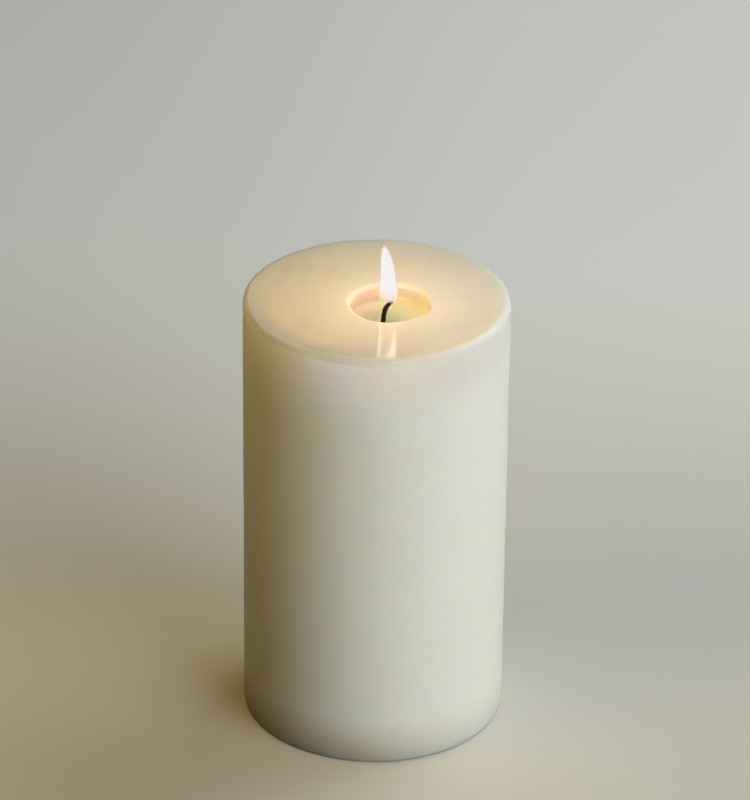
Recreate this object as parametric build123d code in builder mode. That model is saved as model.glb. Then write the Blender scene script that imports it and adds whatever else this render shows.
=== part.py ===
from build123d import *
import os
from math import radians, tan

# Flameless led pillar candle: a real wax shell with a melt pool moulded into its top, a
# flame-shaped lens that sways on a wire pivot above an electromagnet, a light tower that
# carries them, and a battery case for two AA cells in the base, with a hinged door and a
# slide switch underneath. Millimetres. The origin is the centre of the bottom, +Z is up
# and the front is at -Y.

os.makedirs("parts", exist_ok=True)

# ---------------------------------------------------------------- driving dimensions
WAX_R = 38.0  # a 3 inch (76 mm) pillar
WAX_H = 131.5
RIM_ROUND = 1.0
FOOT_ROUND = 1.2
BORE_R = 32.0  # hollow of the wax shell
BORE_TOP = 115.0
REBATE_R = 34.6  # seat of the base cover
REBATE_TOP = 2.8

FLAME_Y = -3.2  # plane in which the flame sways

MELT_X = 3.75  # centre line of the melt pool, light tower and head
POOL_Y = FLAME_Y  # the pool is round the flame, a little in front of the tower
POOL_Z = 127.5  # edge of the moulded pool
POOL_R = 11.5
POOL_DISH_R = 11.1
POOL_SAG = 2.1  # the pool is a shallow dish, this much lower in its middle
MELT_R = 11.65
BRIM_ROUND = 1.3
INSERT_R = 16.2
LEDGE_Z = 123.7
SEAT_Z = 121.2  # top of the head, underside of the pool insert

FLAME_TIP_Z = 149.7
WICK_X = 2.0  # where the wick leaves the pool
WICK_R = 0.7

PIVOT_Z = 121.7
PIVOT_R = 0.5
PIVOT_HALF = 13.8
RUNNING_FIT = 0.05  # radial clearance of a hub on its wire or pin

TOWER_R = 16.0
TOWER_BORE_R = 14.5
HEAD_R = 13.2
HEAD_BORE_R = 11.7
HEAD_Z = 98.0
FLANGE_T = 1.5
BOARD_R = 12.6
BOARD_T = 1.6

CASE_R = 31.7
CASE_WALL = 1.5
CASE_TOP = 22.5
CEILING_T = 2.0
COVER_R = 34.4
COVER_Z = 0.8
CELL_R = 7.25  # AA cell, 14.5 mm x 50.5 mm
CELL_L = 50.5
CELL_Y = 7.5
CELL_Z = 12.0
BUTTON_R = 2.75
BUTTON_L = 1.3
CONTACT_X = 27.5  # inner face of the contact plates
PLATE_T = 0.4
BAY_Y = 15.2  # half width of the battery bay
BAY_WALL = 1.4

HINGE_Y = 16.6
HINGE_Z = 2.0
KNUCKLE_R = 1.2
PIN_R = 0.6
DOOR_X = 27.6
DOOR_Y = 15.1
DOOR_T = 1.6
DOOR_GAP = 0.2

SWITCH_Y = -24.5
SWITCH_TRAVEL = 5.0
KNOB_X = -SWITCH_TRAVEL / 2  # centre of the knob while the candle is on
LEAD_R = 0.6

COVER_SCREWS = ((18.0, 22.0), (-18.0, 22.0), (-18.0, -22.0), (18.0, -22.0))
TOWER_SCREWS = tuple((MELT_X + x, y) for x in (-9.0, 9.0) for y in (-19.5, 19.5))
BOARD_SCREW_PCD_R = 9.2


def tower_plane(z):
    """Horizontal plane at height z, centred on the light tower and the head."""
    return Plane((MELT_X, 0, z))


def pool_plane(z):
    """Horizontal plane at height z, centred on the melt pool."""
    return Plane((MELT_X, POOL_Y, z))


def across_y(x, y, z):
    """Upright plane through a point, whose normal points at the front (-Y)."""
    return Plane((x, y, z), x_dir=(1, 0, 0), z_dir=(0, -1, 0))


def along_x(x, y, z):
    """Upright plane through a point, whose normal is +X and whose x direction is +Y."""
    return Plane((x, y, z), x_dir=(0, 1, 0), z_dir=(1, 0, 0))


def bend_radii(points):
    """Largest arcs that the runs of a lead leave room for, one for each corner."""
    radii = []
    for start, corner, end in zip(points, points[1:], points[2:]):
        before, after = Vector(corner) - Vector(start), Vector(end) - Vector(corner)
        half_turn = radians(before.get_angle(after)) / 2
        radii.append(0.45 * min(before.length, after.length) / tan(half_turn))
    return radii


def circle_at(part, z, radius):
    """The circular edges of a part at height z with the given radius."""
    rings = part.edges().filter_by(GeomType.CIRCLE).filter_by_position(Axis.Z, z, z)
    return rings.filter_by(lambda ring: abs(ring.radius - radius) < 0.01)


def write(piece, name):
    """Labels a finished piece and writes it as its own STEP file."""
    piece.part.label = name
    export_step(piece.part, f"parts/{name}.step")


# ---------------------------------------------------------------- wax shell
with BuildPart() as wax_shell:
    with BuildSketch(Plane.XY):
        Circle(WAX_R)
    extrude(amount=WAX_H)
    fillet(circle_at(wax_shell, WAX_H, WAX_R), RIM_ROUND)
    fillet(circle_at(wax_shell, 0, WAX_R), FOOT_ROUND)
    # hollow for the works, and the rebate of the base cover
    with BuildSketch(Plane.XY):
        Circle(BORE_R)
    extrude(amount=BORE_TOP, mode=Mode.SUBTRACT)
    with BuildSketch(Plane.XY):
        Circle(REBATE_R)
    extrude(amount=REBATE_TOP, mode=Mode.SUBTRACT)
    # stepped hole for the head and the pool insert
    with BuildSketch(tower_plane(BORE_TOP)):
        Circle(TOWER_R + 1.0)
    extrude(amount=SEAT_Z + 0.2 - BORE_TOP, mode=Mode.SUBTRACT)
    with BuildSketch(tower_plane(SEAT_Z)):
        Circle(INSERT_R + 0.3)
    extrude(amount=LEDGE_Z - SEAT_Z, mode=Mode.SUBTRACT)
    # wall of the melt pool and its soft brim
    with BuildSketch(pool_plane(LEDGE_Z)):
        Circle(MELT_R)
    extrude(amount=WAX_H - LEDGE_Z, mode=Mode.SUBTRACT)
    fillet(circle_at(wax_shell, WAX_H, MELT_R), BRIM_ROUND)

# ---------------------------------------------------------------- pivot wire and spacers
HUB_Y0 = FLAME_Y - 2.2
HUB_Y1 = FLAME_Y + 2.2
SPACER_R = 0.95
SPACER_END = 11.2
SPACER_GAP = 0.2

with BuildPart() as pivot_wire:
    with BuildSketch(across_y(MELT_X, PIVOT_HALF, PIVOT_Z)):
        Circle(PIVOT_R)
    extrude(amount=2 * PIVOT_HALF)

with BuildPart() as pivot_spacers:
    with BuildSketch(across_y(MELT_X, SPACER_END, PIVOT_Z)):
        Circle(SPACER_R)
        Circle(PIVOT_R, mode=Mode.SUBTRACT)
    extrude(amount=SPACER_END - HUB_Y1 - SPACER_GAP)
    with BuildSketch(across_y(MELT_X, HUB_Y0 - SPACER_GAP, PIVOT_Z)):
        Circle(SPACER_R)
        Circle(PIVOT_R, mode=Mode.SUBTRACT)
    extrude(amount=SPACER_END + HUB_Y0 - SPACER_GAP)

# ---------------------------------------------------------------- pool insert
DISH_SPHERE_R = (POOL_DISH_R**2 + POOL_SAG**2) / (2 * POOL_SAG)
SKIN_Z = 124.1  # underside of the thin floor of the pool
CAVITY_R = 6.2
CAVITY_X = 3.3
WICK_SLOT = 2.4  # long way, in the direction of the sway
WICK_SLOT_W = 1.7

with BuildPart() as pool_insert:
    with BuildSketch(tower_plane(SEAT_Z)):
        Circle(INSERT_R)
    extrude(amount=LEDGE_Z - SEAT_Z)
    with BuildSketch(pool_plane(LEDGE_Z)):
        Circle(POOL_R)
    extrude(amount=POOL_Z - LEDGE_Z)
    with Locations((MELT_X, POOL_Y, POOL_Z - POOL_SAG + DISH_SPHERE_R)):
        Sphere(DISH_SPHERE_R, mode=Mode.SUBTRACT)
    # room for the top of the carrier to rock, and the slot that the wick comes through
    with BuildSketch(Plane((CAVITY_X, FLAME_Y, SEAT_Z))):
        Circle(CAVITY_R)
    extrude(amount=SKIN_Z - SEAT_Z, mode=Mode.SUBTRACT)
    with BuildSketch(Plane((WICK_X, FLAME_Y, SEAT_Z))):
        SlotOverall(WICK_SLOT, WICK_SLOT_W)
    extrude(amount=POOL_Z - SEAT_Z, mode=Mode.SUBTRACT)
    # groove for the pivot wire, wider where the spacers sit on it
    with BuildSketch(tower_plane(SEAT_Z)):
        Rectangle(2 * PIVOT_R, 2 * PIVOT_HALF)
    extrude(amount=PIVOT_Z + PIVOT_R - SEAT_Z, mode=Mode.SUBTRACT)
    with BuildSketch(tower_plane(SEAT_Z)):
        Rectangle(2.2, 2 * SPACER_END + 0.4)
    extrude(amount=1.6, mode=Mode.SUBTRACT)

# ---------------------------------------------------------------- swaying flame
HUB_R = 1.6
SOCKET_Z = 123.5
SOCKET_R = 1.3
PADDLE_W = 6.4
PADDLE_T = 2.6
MAGNET_R = 4.0
MAGNET_H = 4.0
MAGNET_Z = 105.5
PADDLE_Z = MAGNET_Z + MAGNET_H
LED_R = 0.9
LED_X = 4.5
LED_Z = 131.2
LED_H = 2.4

with BuildPart() as flame_led:
    with BuildSketch(Plane((LED_X, FLAME_Y, LED_Z))):
        Circle(LED_R)
    extrude(amount=LED_H)
    fillet(circle_at(flame_led, LED_Z + LED_H, LED_R), 0.6)

WICK_ROUTE = (
    (WICK_X, FLAME_Y, PIVOT_Z),
    (WICK_X, FLAME_Y, 126.6),
    (2.8, FLAME_Y, 129.2),
    (4.6, FLAME_Y, 131.7),
)

with BuildPart() as wick:
    with BuildLine():
        FilletPolyline(*WICK_ROUTE, radius=bend_radii(WICK_ROUTE))
    with BuildSketch(Plane(WICK_ROUTE[0])):
        Circle(WICK_R)
    sweep()
    add(flame_led.part, mode=Mode.SUBTRACT)

# sections of the flame lens: height, centre, half width; its depth is nearly its width
FLAME_DEPTH = 0.9
FLAME_SECTIONS = (
    (130.5, 4.1, 1.3),
    (131.7, 3.95, 2.1),
    (133.5, 3.75, 2.58),
    (135.5, 3.68, 2.48),
    (138.8, 3.57, 2.33),
    (141.4, 3.45, 2.2),
    (144.3, 3.24, 1.9),
    (146.5, 3.0, 1.45),
    (148.0, 2.84, 0.98),
    (149.3, 2.72, 0.4),
)
TIP_X, TIP_R = 2.72, 0.4
TIP_Z = FLAME_SECTIONS[-1][0]

with BuildPart() as flame_lens:
    for height, centre, half_width in FLAME_SECTIONS:
        with BuildSketch(Plane((centre, FLAME_Y, height))):
            Ellipse(half_width, half_width * FLAME_DEPTH)
    loft()
    with BuildSketch(Plane((TIP_X, FLAME_Y, TIP_Z))):
        Ellipse(TIP_R, TIP_R * FLAME_DEPTH)
    extrude(amount=FLAME_TIP_Z - TIP_Z, taper=35)
    add(wick.part, mode=Mode.SUBTRACT)
    add(flame_led.part, mode=Mode.SUBTRACT)

with BuildPart() as flame_carrier:
    # paddle that hangs from the hub, and the cap of the magnet
    with BuildSketch(Plane((MELT_X, FLAME_Y, PADDLE_Z))):
        RectangleRounded(PADDLE_W, PADDLE_T, 0.6)
    extrude(amount=PIVOT_Z - PADDLE_Z)
    with BuildSketch(Plane((MELT_X, FLAME_Y, PADDLE_Z))):
        Circle(MAGNET_R + 0.5)
    extrude(amount=1.2)
    # socket of the wick, beside the hub on the wire
    with BuildSketch(Plane((WICK_X, FLAME_Y, PIVOT_Z - 4.0))):
        Circle(SOCKET_R)
    extrude(amount=SOCKET_Z - PIVOT_Z + 4.0)
    with BuildSketch(across_y(MELT_X, HUB_Y1, PIVOT_Z)):
        Circle(HUB_R)
    extrude(amount=HUB_Y1 - HUB_Y0)
    with BuildSketch(Plane((WICK_X, FLAME_Y, PIVOT_Z))):
        Circle(WICK_R)
    extrude(amount=SOCKET_Z - PIVOT_Z, mode=Mode.SUBTRACT)
    with BuildSketch(across_y(MELT_X, HUB_Y1, PIVOT_Z)):
        Circle(PIVOT_R + RUNNING_FIT)
    extrude(amount=HUB_Y1 - HUB_Y0, mode=Mode.SUBTRACT)

with BuildPart() as magnet:
    with BuildSketch(Plane((MELT_X, FLAME_Y, MAGNET_Z))):
        Circle(MAGNET_R)
    extrude(amount=MAGNET_H)
    chamfer(magnet.edges().filter_by(GeomType.CIRCLE), 0.3)

# ---------------------------------------------------------------- head and its electronics
HEAD_RIB_T = 1.6
COIL_HOLE_R = 6.6
BOSS_R = 2.2
BOARD_SCREW_R = 0.9
BOARD_Z = HEAD_Z - BOARD_T
FLAME_LEAD_R = 0.2
FLAME_LEAD_X = 1.1
FLAME_LEAD_Y = 8.6

with BuildPart() as head_cup:
    with BuildSketch(tower_plane(HEAD_Z)):
        Circle(HEAD_R)
    extrude(amount=SEAT_Z - HEAD_Z)
    with BuildSketch(tower_plane(SEAT_Z)):
        Circle(TOWER_R + 0.5)
    extrude(amount=-FLANGE_T)
    # ribs that centre the cup in the light tower
    with BuildSketch(tower_plane(HEAD_Z + 2)):
        with PolarLocations(HEAD_R, 6):
            Rectangle(4, HEAD_RIB_T)
        Circle(TOWER_BORE_R, mode=Mode.INTERSECT)
    extrude(amount=SEAT_Z - FLANGE_T - HEAD_Z - 2)
    with BuildSketch(tower_plane(HEAD_Z + FLANGE_T)):
        Circle(HEAD_BORE_R)
    extrude(amount=SEAT_Z - HEAD_Z - FLANGE_T, mode=Mode.SUBTRACT)
    with BuildSketch(tower_plane(HEAD_Z + FLANGE_T)):
        with PolarLocations(BOARD_SCREW_PCD_R, 3):
            Circle(BOSS_R)
    extrude(amount=4.5)
    # holes for the coil, the board screws and the leads of the flame
    with BuildSketch(tower_plane(HEAD_Z)):
        Circle(COIL_HOLE_R)
    extrude(amount=FLANGE_T, mode=Mode.SUBTRACT)
    with BuildSketch(tower_plane(HEAD_Z)):
        with PolarLocations(BOARD_SCREW_PCD_R, 3):
            Circle(BOARD_SCREW_R)
    extrude(amount=5.0, mode=Mode.SUBTRACT)
    with BuildSketch(Plane((MELT_X, FLAME_LEAD_Y, HEAD_Z))):
        with Locations((-FLAME_LEAD_X, 0), (FLAME_LEAD_X, 0)):
            Circle(FLAME_LEAD_R + 0.3)
    extrude(amount=FLANGE_T, mode=Mode.SUBTRACT)

BOBBIN_H = 6.5
BOBBIN_R = 6.2
BOBBIN_RIM = 0.7
CORE_R = 3.0
COIL_R = 5.7

with BuildPart() as coil_bobbin:
    with BuildSketch(tower_plane(HEAD_Z)):
        Circle(BOBBIN_R)
    extrude(amount=BOBBIN_H)
    with BuildSketch(tower_plane(HEAD_Z + BOBBIN_RIM)):
        Circle(BOBBIN_R)
        Circle(CORE_R, mode=Mode.SUBTRACT)
    extrude(amount=BOBBIN_H - 2 * BOBBIN_RIM, mode=Mode.SUBTRACT)
    with BuildSketch(tower_plane(HEAD_Z)):
        Circle(1.2)
    extrude(amount=BOBBIN_H, mode=Mode.SUBTRACT)

with BuildPart() as drive_coil:
    with BuildSketch(tower_plane(HEAD_Z + BOBBIN_RIM)):
        Circle(COIL_R)
        Circle(CORE_R, mode=Mode.SUBTRACT)
    extrude(amount=BOBBIN_H - 2 * BOBBIN_RIM)
    fillet(circle_at(drive_coil, HEAD_Z + BOBBIN_RIM, COIL_R), 0.5)

with BuildPart() as control_board:
    with BuildSketch(tower_plane(BOARD_Z)):
        Circle(BOARD_R)
        with PolarLocations(BOARD_SCREW_PCD_R, 3):
            Circle(BOARD_SCREW_R + 0.2, mode=Mode.SUBTRACT)
    extrude(amount=BOARD_T)

HEADER_X, HEADER_Y = 6.5, -6.0
HEADER_Z = BOARD_Z - 3.5
PLUG_Z = HEADER_Z - 3.0

with BuildPart() as board_header:
    with BuildSketch(Plane((HEADER_X, HEADER_Y, HEADER_Z))):
        Rectangle(7.4, 4.2)
    extrude(amount=BOARD_Z - HEADER_Z)
    chamfer(board_header.edges().group_by(Axis.Z)[0], 0.3)

with BuildPart() as lead_plug:
    with BuildSketch(Plane((HEADER_X, HEADER_Y, PLUG_Z))):
        Rectangle(6.6, 3.6)
    extrude(amount=HEADER_Z - PLUG_Z)
    fillet(lead_plug.edges().filter_by(Axis.Z), 0.4)

with BuildPart() as board_chip:
    with BuildSketch(Plane((MELT_X + 4.5, 4.0, BOARD_Z))):
        Rectangle(5.0, 4.0)
    extrude(amount=-1.5)
    # eight gull-wing legs, four along each long side
    with BuildSketch(Plane((MELT_X + 4.5, 4.0, BOARD_Z))):
        with GridLocations(1.27, 5.2, 4, 2):
            Rectangle(0.45, 1.2)
    extrude(amount=-0.7)

with BuildPart() as board_capacitor:
    with BuildSketch(Plane((MELT_X - 6.5, 1.0, BOARD_Z))):
        Circle(2.5)
    extrude(amount=-6.0)
    fillet(board_capacitor.edges().group_by(Axis.Z)[0], 0.4)

with BuildPart() as board_parts:
    with BuildSketch(Plane((-1.0, -3.6, BOARD_Z))):
        with GridLocations(2.8, 2.6, 2, 2):
            Rectangle(2.0, 1.25)
    extrude(amount=-0.6)
    with BuildSketch(Plane((4.7, 8.4, BOARD_Z))):
        with GridLocations(2.2, 0, 3, 1):
            Rectangle(1.25, 2.0)
    extrude(amount=-0.6)

with BuildPart() as board_screws:
    with BuildSketch(tower_plane(BOARD_Z)):
        with PolarLocations(BOARD_SCREW_PCD_R, 3):
            Circle(1.9)
    extrude(amount=-1.3)
    fillet(board_screws.edges().group_by(Axis.Z)[0], 0.6)
    with BuildSketch(tower_plane(BOARD_Z)):
        with PolarLocations(BOARD_SCREW_PCD_R, 3):
            Circle(BOARD_SCREW_R)
    extrude(amount=BOARD_T + 4.6)

# thin enamelled leads from the board to the hub, clear of everything that sways
FLAME_LEAD_TOP = 120.4
with BuildPart() as flame_leads:
    for side in (-1, 1):
        lead_x = MELT_X + side * FLAME_LEAD_X
        route = (
            (lead_x, FLAME_LEAD_Y, HEAD_Z),
            (lead_x, FLAME_LEAD_Y, FLAME_LEAD_TOP),
            (lead_x, HUB_Y1 + 0.25, FLAME_LEAD_TOP),
        )
        with BuildLine():
            FilletPolyline(*route, radius=3.0)
        with BuildSketch(Plane(route[0])):
            Circle(FLAME_LEAD_R)
        sweep()

# ---------------------------------------------------------------- light tower
FOOT_T = 2.4
FOOT_X, FOOT_Y = 34.0, 46.0
TOWER_TOP = SEAT_Z - FLANGE_T
LEAD_HOLE_R = 3.2
GUSSET_H = 9.0

with BuildPart() as light_tower:
    with BuildSketch(tower_plane(CASE_TOP)):
        RectangleRounded(FOOT_X, FOOT_Y, 6)
    extrude(amount=FOOT_T)
    with BuildSketch(tower_plane(CASE_TOP)):
        Circle(TOWER_R)
    extrude(amount=TOWER_TOP - CASE_TOP)
    # gussets at the front and back of the tube
    with BuildSketch(Plane((MELT_X, 0, CASE_TOP + FOOT_T), x_dir=(0, 1, 0), z_dir=(1, 0, 0))):
        with BuildLine():
            Polyline(
                (TOWER_R - 1, 0),
                (TOWER_R + 6, 0),
                (TOWER_R, GUSSET_H),
                (TOWER_R - 1, GUSSET_H),
                close=True,
            )
        make_face()
        mirror(about=Plane.YZ)
    extrude(amount=0.8, both=True)
    with BuildSketch(tower_plane(CASE_TOP)):
        Circle(TOWER_BORE_R)
    extrude(amount=TOWER_TOP - CASE_TOP, mode=Mode.SUBTRACT)
    # lead holes at the right and at the front, and the screw holes
    with BuildSketch(along_x(MELT_X + TOWER_BORE_R - 2, 0, 32.5)):
        Circle(LEAD_HOLE_R)
    extrude(amount=5, mode=Mode.SUBTRACT)
    with BuildSketch(across_y(1.2, 2 - TOWER_BORE_R, 38.0)):
        Circle(LEAD_HOLE_R)
    extrude(amount=5, mode=Mode.SUBTRACT)
    with BuildSketch(Plane.XY.offset(CASE_TOP)):
        with Locations(*TOWER_SCREWS):
            Circle(1.2)
    extrude(amount=FOOT_T, mode=Mode.SUBTRACT)

with BuildPart() as tower_screws:
    with BuildSketch(Plane.XY.offset(CASE_TOP + FOOT_T)):
        with Locations(*TOWER_SCREWS):
            Circle(2.4)
    extrude(amount=1.7)
    fillet(tower_screws.edges().group_by(Axis.Z)[-1], 0.9)
    with BuildSketch(Plane.XY.offset(CASE_TOP + FOOT_T)):
        with Locations(*TOWER_SCREWS):
            Circle(1.0)
    extrude(amount=-7.5)

# ---------------------------------------------------------------- battery case
CASE_BORE_R = CASE_R - CASE_WALL
CEILING_Z = CASE_TOP - CEILING_T
END_WALL_X = CONTACT_X + PLATE_T
END_WALL_T = 1.3
END_WALL_Y = 11.8
HINGE_CLEAR_Z = 3.6  # the rear bay wall stops above the door's knuckles
SADDLE_X = 14.0
SADDLE_T = 1.6
BOSS_BIG_R = 3.0
TAB_W = 2.4

with BuildPart() as battery_case:
    # side wall, bosses of the cover screws, end walls behind the contacts, front bay wall
    with BuildSketch(Plane.XY.offset(REBATE_TOP)):
        Circle(CASE_R)
        Circle(CASE_BORE_R, mode=Mode.SUBTRACT)
        with Locations(*COVER_SCREWS):
            Circle(BOSS_BIG_R)
        with Locations((0, -BAY_Y - BAY_WALL / 2)):
            Rectangle(2 * CASE_BORE_R - 4, BAY_WALL)
        with Locations((END_WALL_X + END_WALL_T / 2, 0), (-END_WALL_X - END_WALL_T / 2, 0)):
            Rectangle(END_WALL_T, 2 * END_WALL_Y)
        Circle(CASE_R, mode=Mode.INTERSECT)
    extrude(amount=CEILING_Z - REBATE_TOP)
    # the rear bay wall stops above the knuckles of the door
    with BuildSketch(Plane.XY.offset(HINGE_CLEAR_Z)):
        with Locations((0, BAY_Y + BAY_WALL / 2)):
            Rectangle(2 * CASE_BORE_R - 4, BAY_WALL)
        Circle(CASE_R - 0.5, mode=Mode.INTERSECT)
    extrude(amount=CEILING_Z - HINGE_CLEAR_Z)
    with BuildSketch(Plane.XY.offset(CEILING_Z)):
        Circle(CASE_R)
    extrude(amount=CEILING_T)
    # ribs that grip the bore of the wax
    with BuildSketch(Plane.XY.offset(REBATE_TOP + 1)):
        with PolarLocations(CASE_R - 0.5, 6, start_angle=30):
            Rectangle(2.0, 2.4)
        Circle(BORE_R, mode=Mode.INTERSECT)
    extrude(amount=CASE_TOP - REBATE_TOP - 2)
    # saddles that the cells press against
    with BuildSketch(Plane.XY.offset(CELL_Z + 2)):
        with Locations((SADDLE_X, 0), (-SADDLE_X, 0)):
            Rectangle(SADDLE_T, 2 * BAY_Y)
    extrude(amount=CEILING_Z - CELL_Z - 2)
    with BuildSketch(along_x(-CONTACT_X, 0, CELL_Z)):
        with Locations((CELL_Y, 0), (-CELL_Y, 0)):
            Circle(CELL_R + 0.1)
    extrude(amount=2 * CONTACT_X, mode=Mode.SUBTRACT)
    # bosses of the tower screws, and the screw holes
    with BuildSketch(Plane.XY.offset(CEILING_Z)):
        with Locations(*TOWER_SCREWS):
            Circle(2.4)
    extrude(amount=-6)
    with BuildSketch(Plane.XY.offset(REBATE_TOP)):
        with Locations(*COVER_SCREWS):
            Circle(1.0)
    extrude(amount=11, mode=Mode.SUBTRACT)
    with BuildSketch(Plane.XY.offset(CASE_TOP)):
        with Locations(*TOWER_SCREWS):
            Circle(1.0)
    extrude(amount=-6.5, mode=Mode.SUBTRACT)
    # slots in the ceiling for the two tabs and for the leads of the switch
    with BuildSketch(Plane.XY.offset(CEILING_Z)):
        with Locations((CONTACT_X + PLATE_T / 2, CELL_Y), (CONTACT_X + PLATE_T / 2, -CELL_Y)):
            Rectangle(1.0, TAB_W + 0.6)
        with Locations((0, SWITCH_Y)):
            SlotOverall(9.0, 2.6)
    extrude(amount=CEILING_T, mode=Mode.SUBTRACT)

# ---------------------------------------------------------------- cells and contacts
PLATE_Y0, PLATE_Y1 = 3.6, 11.2
PLATE_Z0, PLATE_Z1 = 7.0, 17.0
TAB_TOP = 25.4
SPRING_R = 3.0
SPRING_WIRE_R = 0.4
SPRING_L = 2 * CONTACT_X - CELL_L


def cell(sign):
    """AA cell on the side of the given sign; its button points the same way along X."""
    with BuildPart() as body:
        start = -sign * (CELL_L - CONTACT_X)
        with BuildSketch(along_x(start, sign * CELL_Y, CELL_Z)):
            Circle(CELL_R)
        extrude(amount=sign * (CELL_L - BUTTON_L))
        fillet(body.edges().filter_by(GeomType.CIRCLE), 0.6)
        shoulder = start + sign * (CELL_L - BUTTON_L)
        with BuildSketch(along_x(shoulder, sign * CELL_Y, CELL_Z)):
            Circle(BUTTON_R)
        extrude(amount=sign * BUTTON_L)
    return body


def contact(y0, y1):
    """Contact plate against the end wall at the right, without its tab."""
    with BuildPart() as plate:
        with BuildSketch(along_x(CONTACT_X, (y0 + y1) / 2, (PLATE_Z0 + PLATE_Z1) / 2)):
            RectangleRounded(y1 - y0, PLATE_Z1 - PLATE_Z0, 0.8)
        extrude(amount=PLATE_T)
        with BuildSketch(along_x(CONTACT_X, (y0 + y1) / 2, (PLATE_Z1 + TAB_TOP) / 2 - 0.5)):
            Rectangle(TAB_W, TAB_TOP - PLATE_Z1 + 1)
        extrude(amount=PLATE_T)
    return plate


def contact_spring(sign):
    """Coil spring that presses on the flat end of the cell of the other sign."""
    start = Vector(sign * (CONTACT_X - SPRING_WIRE_R), -sign * CELL_Y, CELL_Z)
    travel = SPRING_L - 2 * SPRING_WIRE_R
    with BuildPart() as spring:
        with BuildLine() as coil:
            Helix(pitch=travel / 3, height=travel, radius=SPRING_R, center=start,
                  direction=(-sign, 0, 0))
        with BuildSketch(Plane(origin=coil.line @ 0, z_dir=coil.line % 0)):
            Circle(SPRING_WIRE_R)
        sweep()
    return spring


battery_a = cell(1)
battery_b = cell(-1)
positive_plate = contact(PLATE_Y0, PLATE_Y1)
negative_plate = contact(-PLATE_Y1, -PLATE_Y0)
negative_spring = contact_spring(1)
bridge_spring = contact_spring(-1)

with BuildPart() as bridge_plate:
    with BuildSketch(along_x(-END_WALL_X, 0, (PLATE_Z0 + PLATE_Z1) / 2)):
        RectangleRounded(2 * PLATE_Y1, PLATE_Z1 - PLATE_Z0, 0.8)
    extrude(amount=PLATE_T)

# ---------------------------------------------------------------- base cover
COVER_T = REBATE_TOP - COVER_Z
OPENING_BACK = HINGE_Y + KNUCKLE_R + 0.3
OPENING_FRONT = DOOR_Y + DOOR_GAP
SLOT_X, SLOT_W = 10.4, 3.4
SWITCH_X, SWITCH_W = 7.0, 5.6  # half length and width of the switch body
SWITCH_Z = 3.4
SWITCH_H = 5.0
PEN_T = 1.2
SCOOP_DEPTH = 1.0
PIN_END = 24.2
DOOR_KNUCKLES = ((-20.7, -3.3), (3.3, 20.7))
COVER_KNUCKLES = ((-PIN_END, -21.0), (-3.0, 3.0), (21.0, PIN_END))

with BuildPart() as base_cover:
    with BuildSketch(Plane.XY.offset(COVER_Z)):
        Circle(COVER_R)
    extrude(amount=COVER_T)
    fillet(circle_at(base_cover, COVER_Z, COVER_R), 0.6)
    # ring that centres the cover in the case, left out beside the bay and at the bosses
    with BuildSketch(Plane.XY.offset(REBATE_TOP)):
        Circle(CASE_BORE_R - 0.2)
        Circle(CASE_BORE_R - 1.4, mode=Mode.SUBTRACT)
        Rectangle(2 * CASE_R, 2 * (BAY_Y + BAY_WALL + 0.9), mode=Mode.SUBTRACT)
        with Locations(*COVER_SCREWS):
            Circle(BOSS_BIG_R + 0.3, mode=Mode.SUBTRACT)
    extrude(amount=2.2)
    # pads and pens that hold the switch
    with BuildSketch(Plane.XY.offset(REBATE_TOP)):
        with Locations((SWITCH_X, SWITCH_Y), (-SWITCH_X, SWITCH_Y)):
            Rectangle(2 * PEN_T, SWITCH_W)
    extrude(amount=SWITCH_Z - REBATE_TOP)
    with BuildSketch(Plane.XY.offset(REBATE_TOP)):
        with Locations((SWITCH_X + PEN_T / 2, SWITCH_Y), (-SWITCH_X - PEN_T / 2, SWITCH_Y)):
            Rectangle(PEN_T, SWITCH_W)
    extrude(amount=SWITCH_Z + SWITCH_H - REBATE_TOP)
    # battery opening, finger scoop, switch slot and screw holes
    with BuildSketch(Plane.XY.offset(COVER_Z)):
        with Locations((0, (OPENING_BACK - OPENING_FRONT) / 2)):
            Rectangle(2 * (DOOR_X + DOOR_GAP), OPENING_BACK + OPENING_FRONT)
        with Locations((0, SWITCH_Y)):
            Rectangle(SLOT_X, SLOT_W)
    extrude(amount=COVER_T, mode=Mode.SUBTRACT)
    with BuildSketch(Plane.XY.offset(COVER_Z)):
        with Locations((0, -OPENING_FRONT)):
            SlotOverall(13.0, 6.0)
    extrude(amount=SCOOP_DEPTH, mode=Mode.SUBTRACT)
    with Locations(*[Location((x, y, COVER_Z), (180, 0, 0)) for x, y in COVER_SCREWS]):
        CounterSinkHole(1.3, 2.8, depth=COVER_T)
    # fixed knuckles of the hinge
    for left, right in COVER_KNUCKLES:
        with BuildSketch(along_x(left, HINGE_Y, HINGE_Z)):
            Circle(KNUCKLE_R)
            with Locations((1.0, COVER_Z + COVER_T / 2 - HINGE_Z)):
                Rectangle(2.0, COVER_T)
            Circle(PIN_R, mode=Mode.SUBTRACT)
        extrude(amount=right - left)

# ---------------------------------------------------------------- battery door
TONGUE_X, TONGUE_L = 5.6, 7.5
SLIT_W = 0.7
GRIP_T = 0.45

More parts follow.
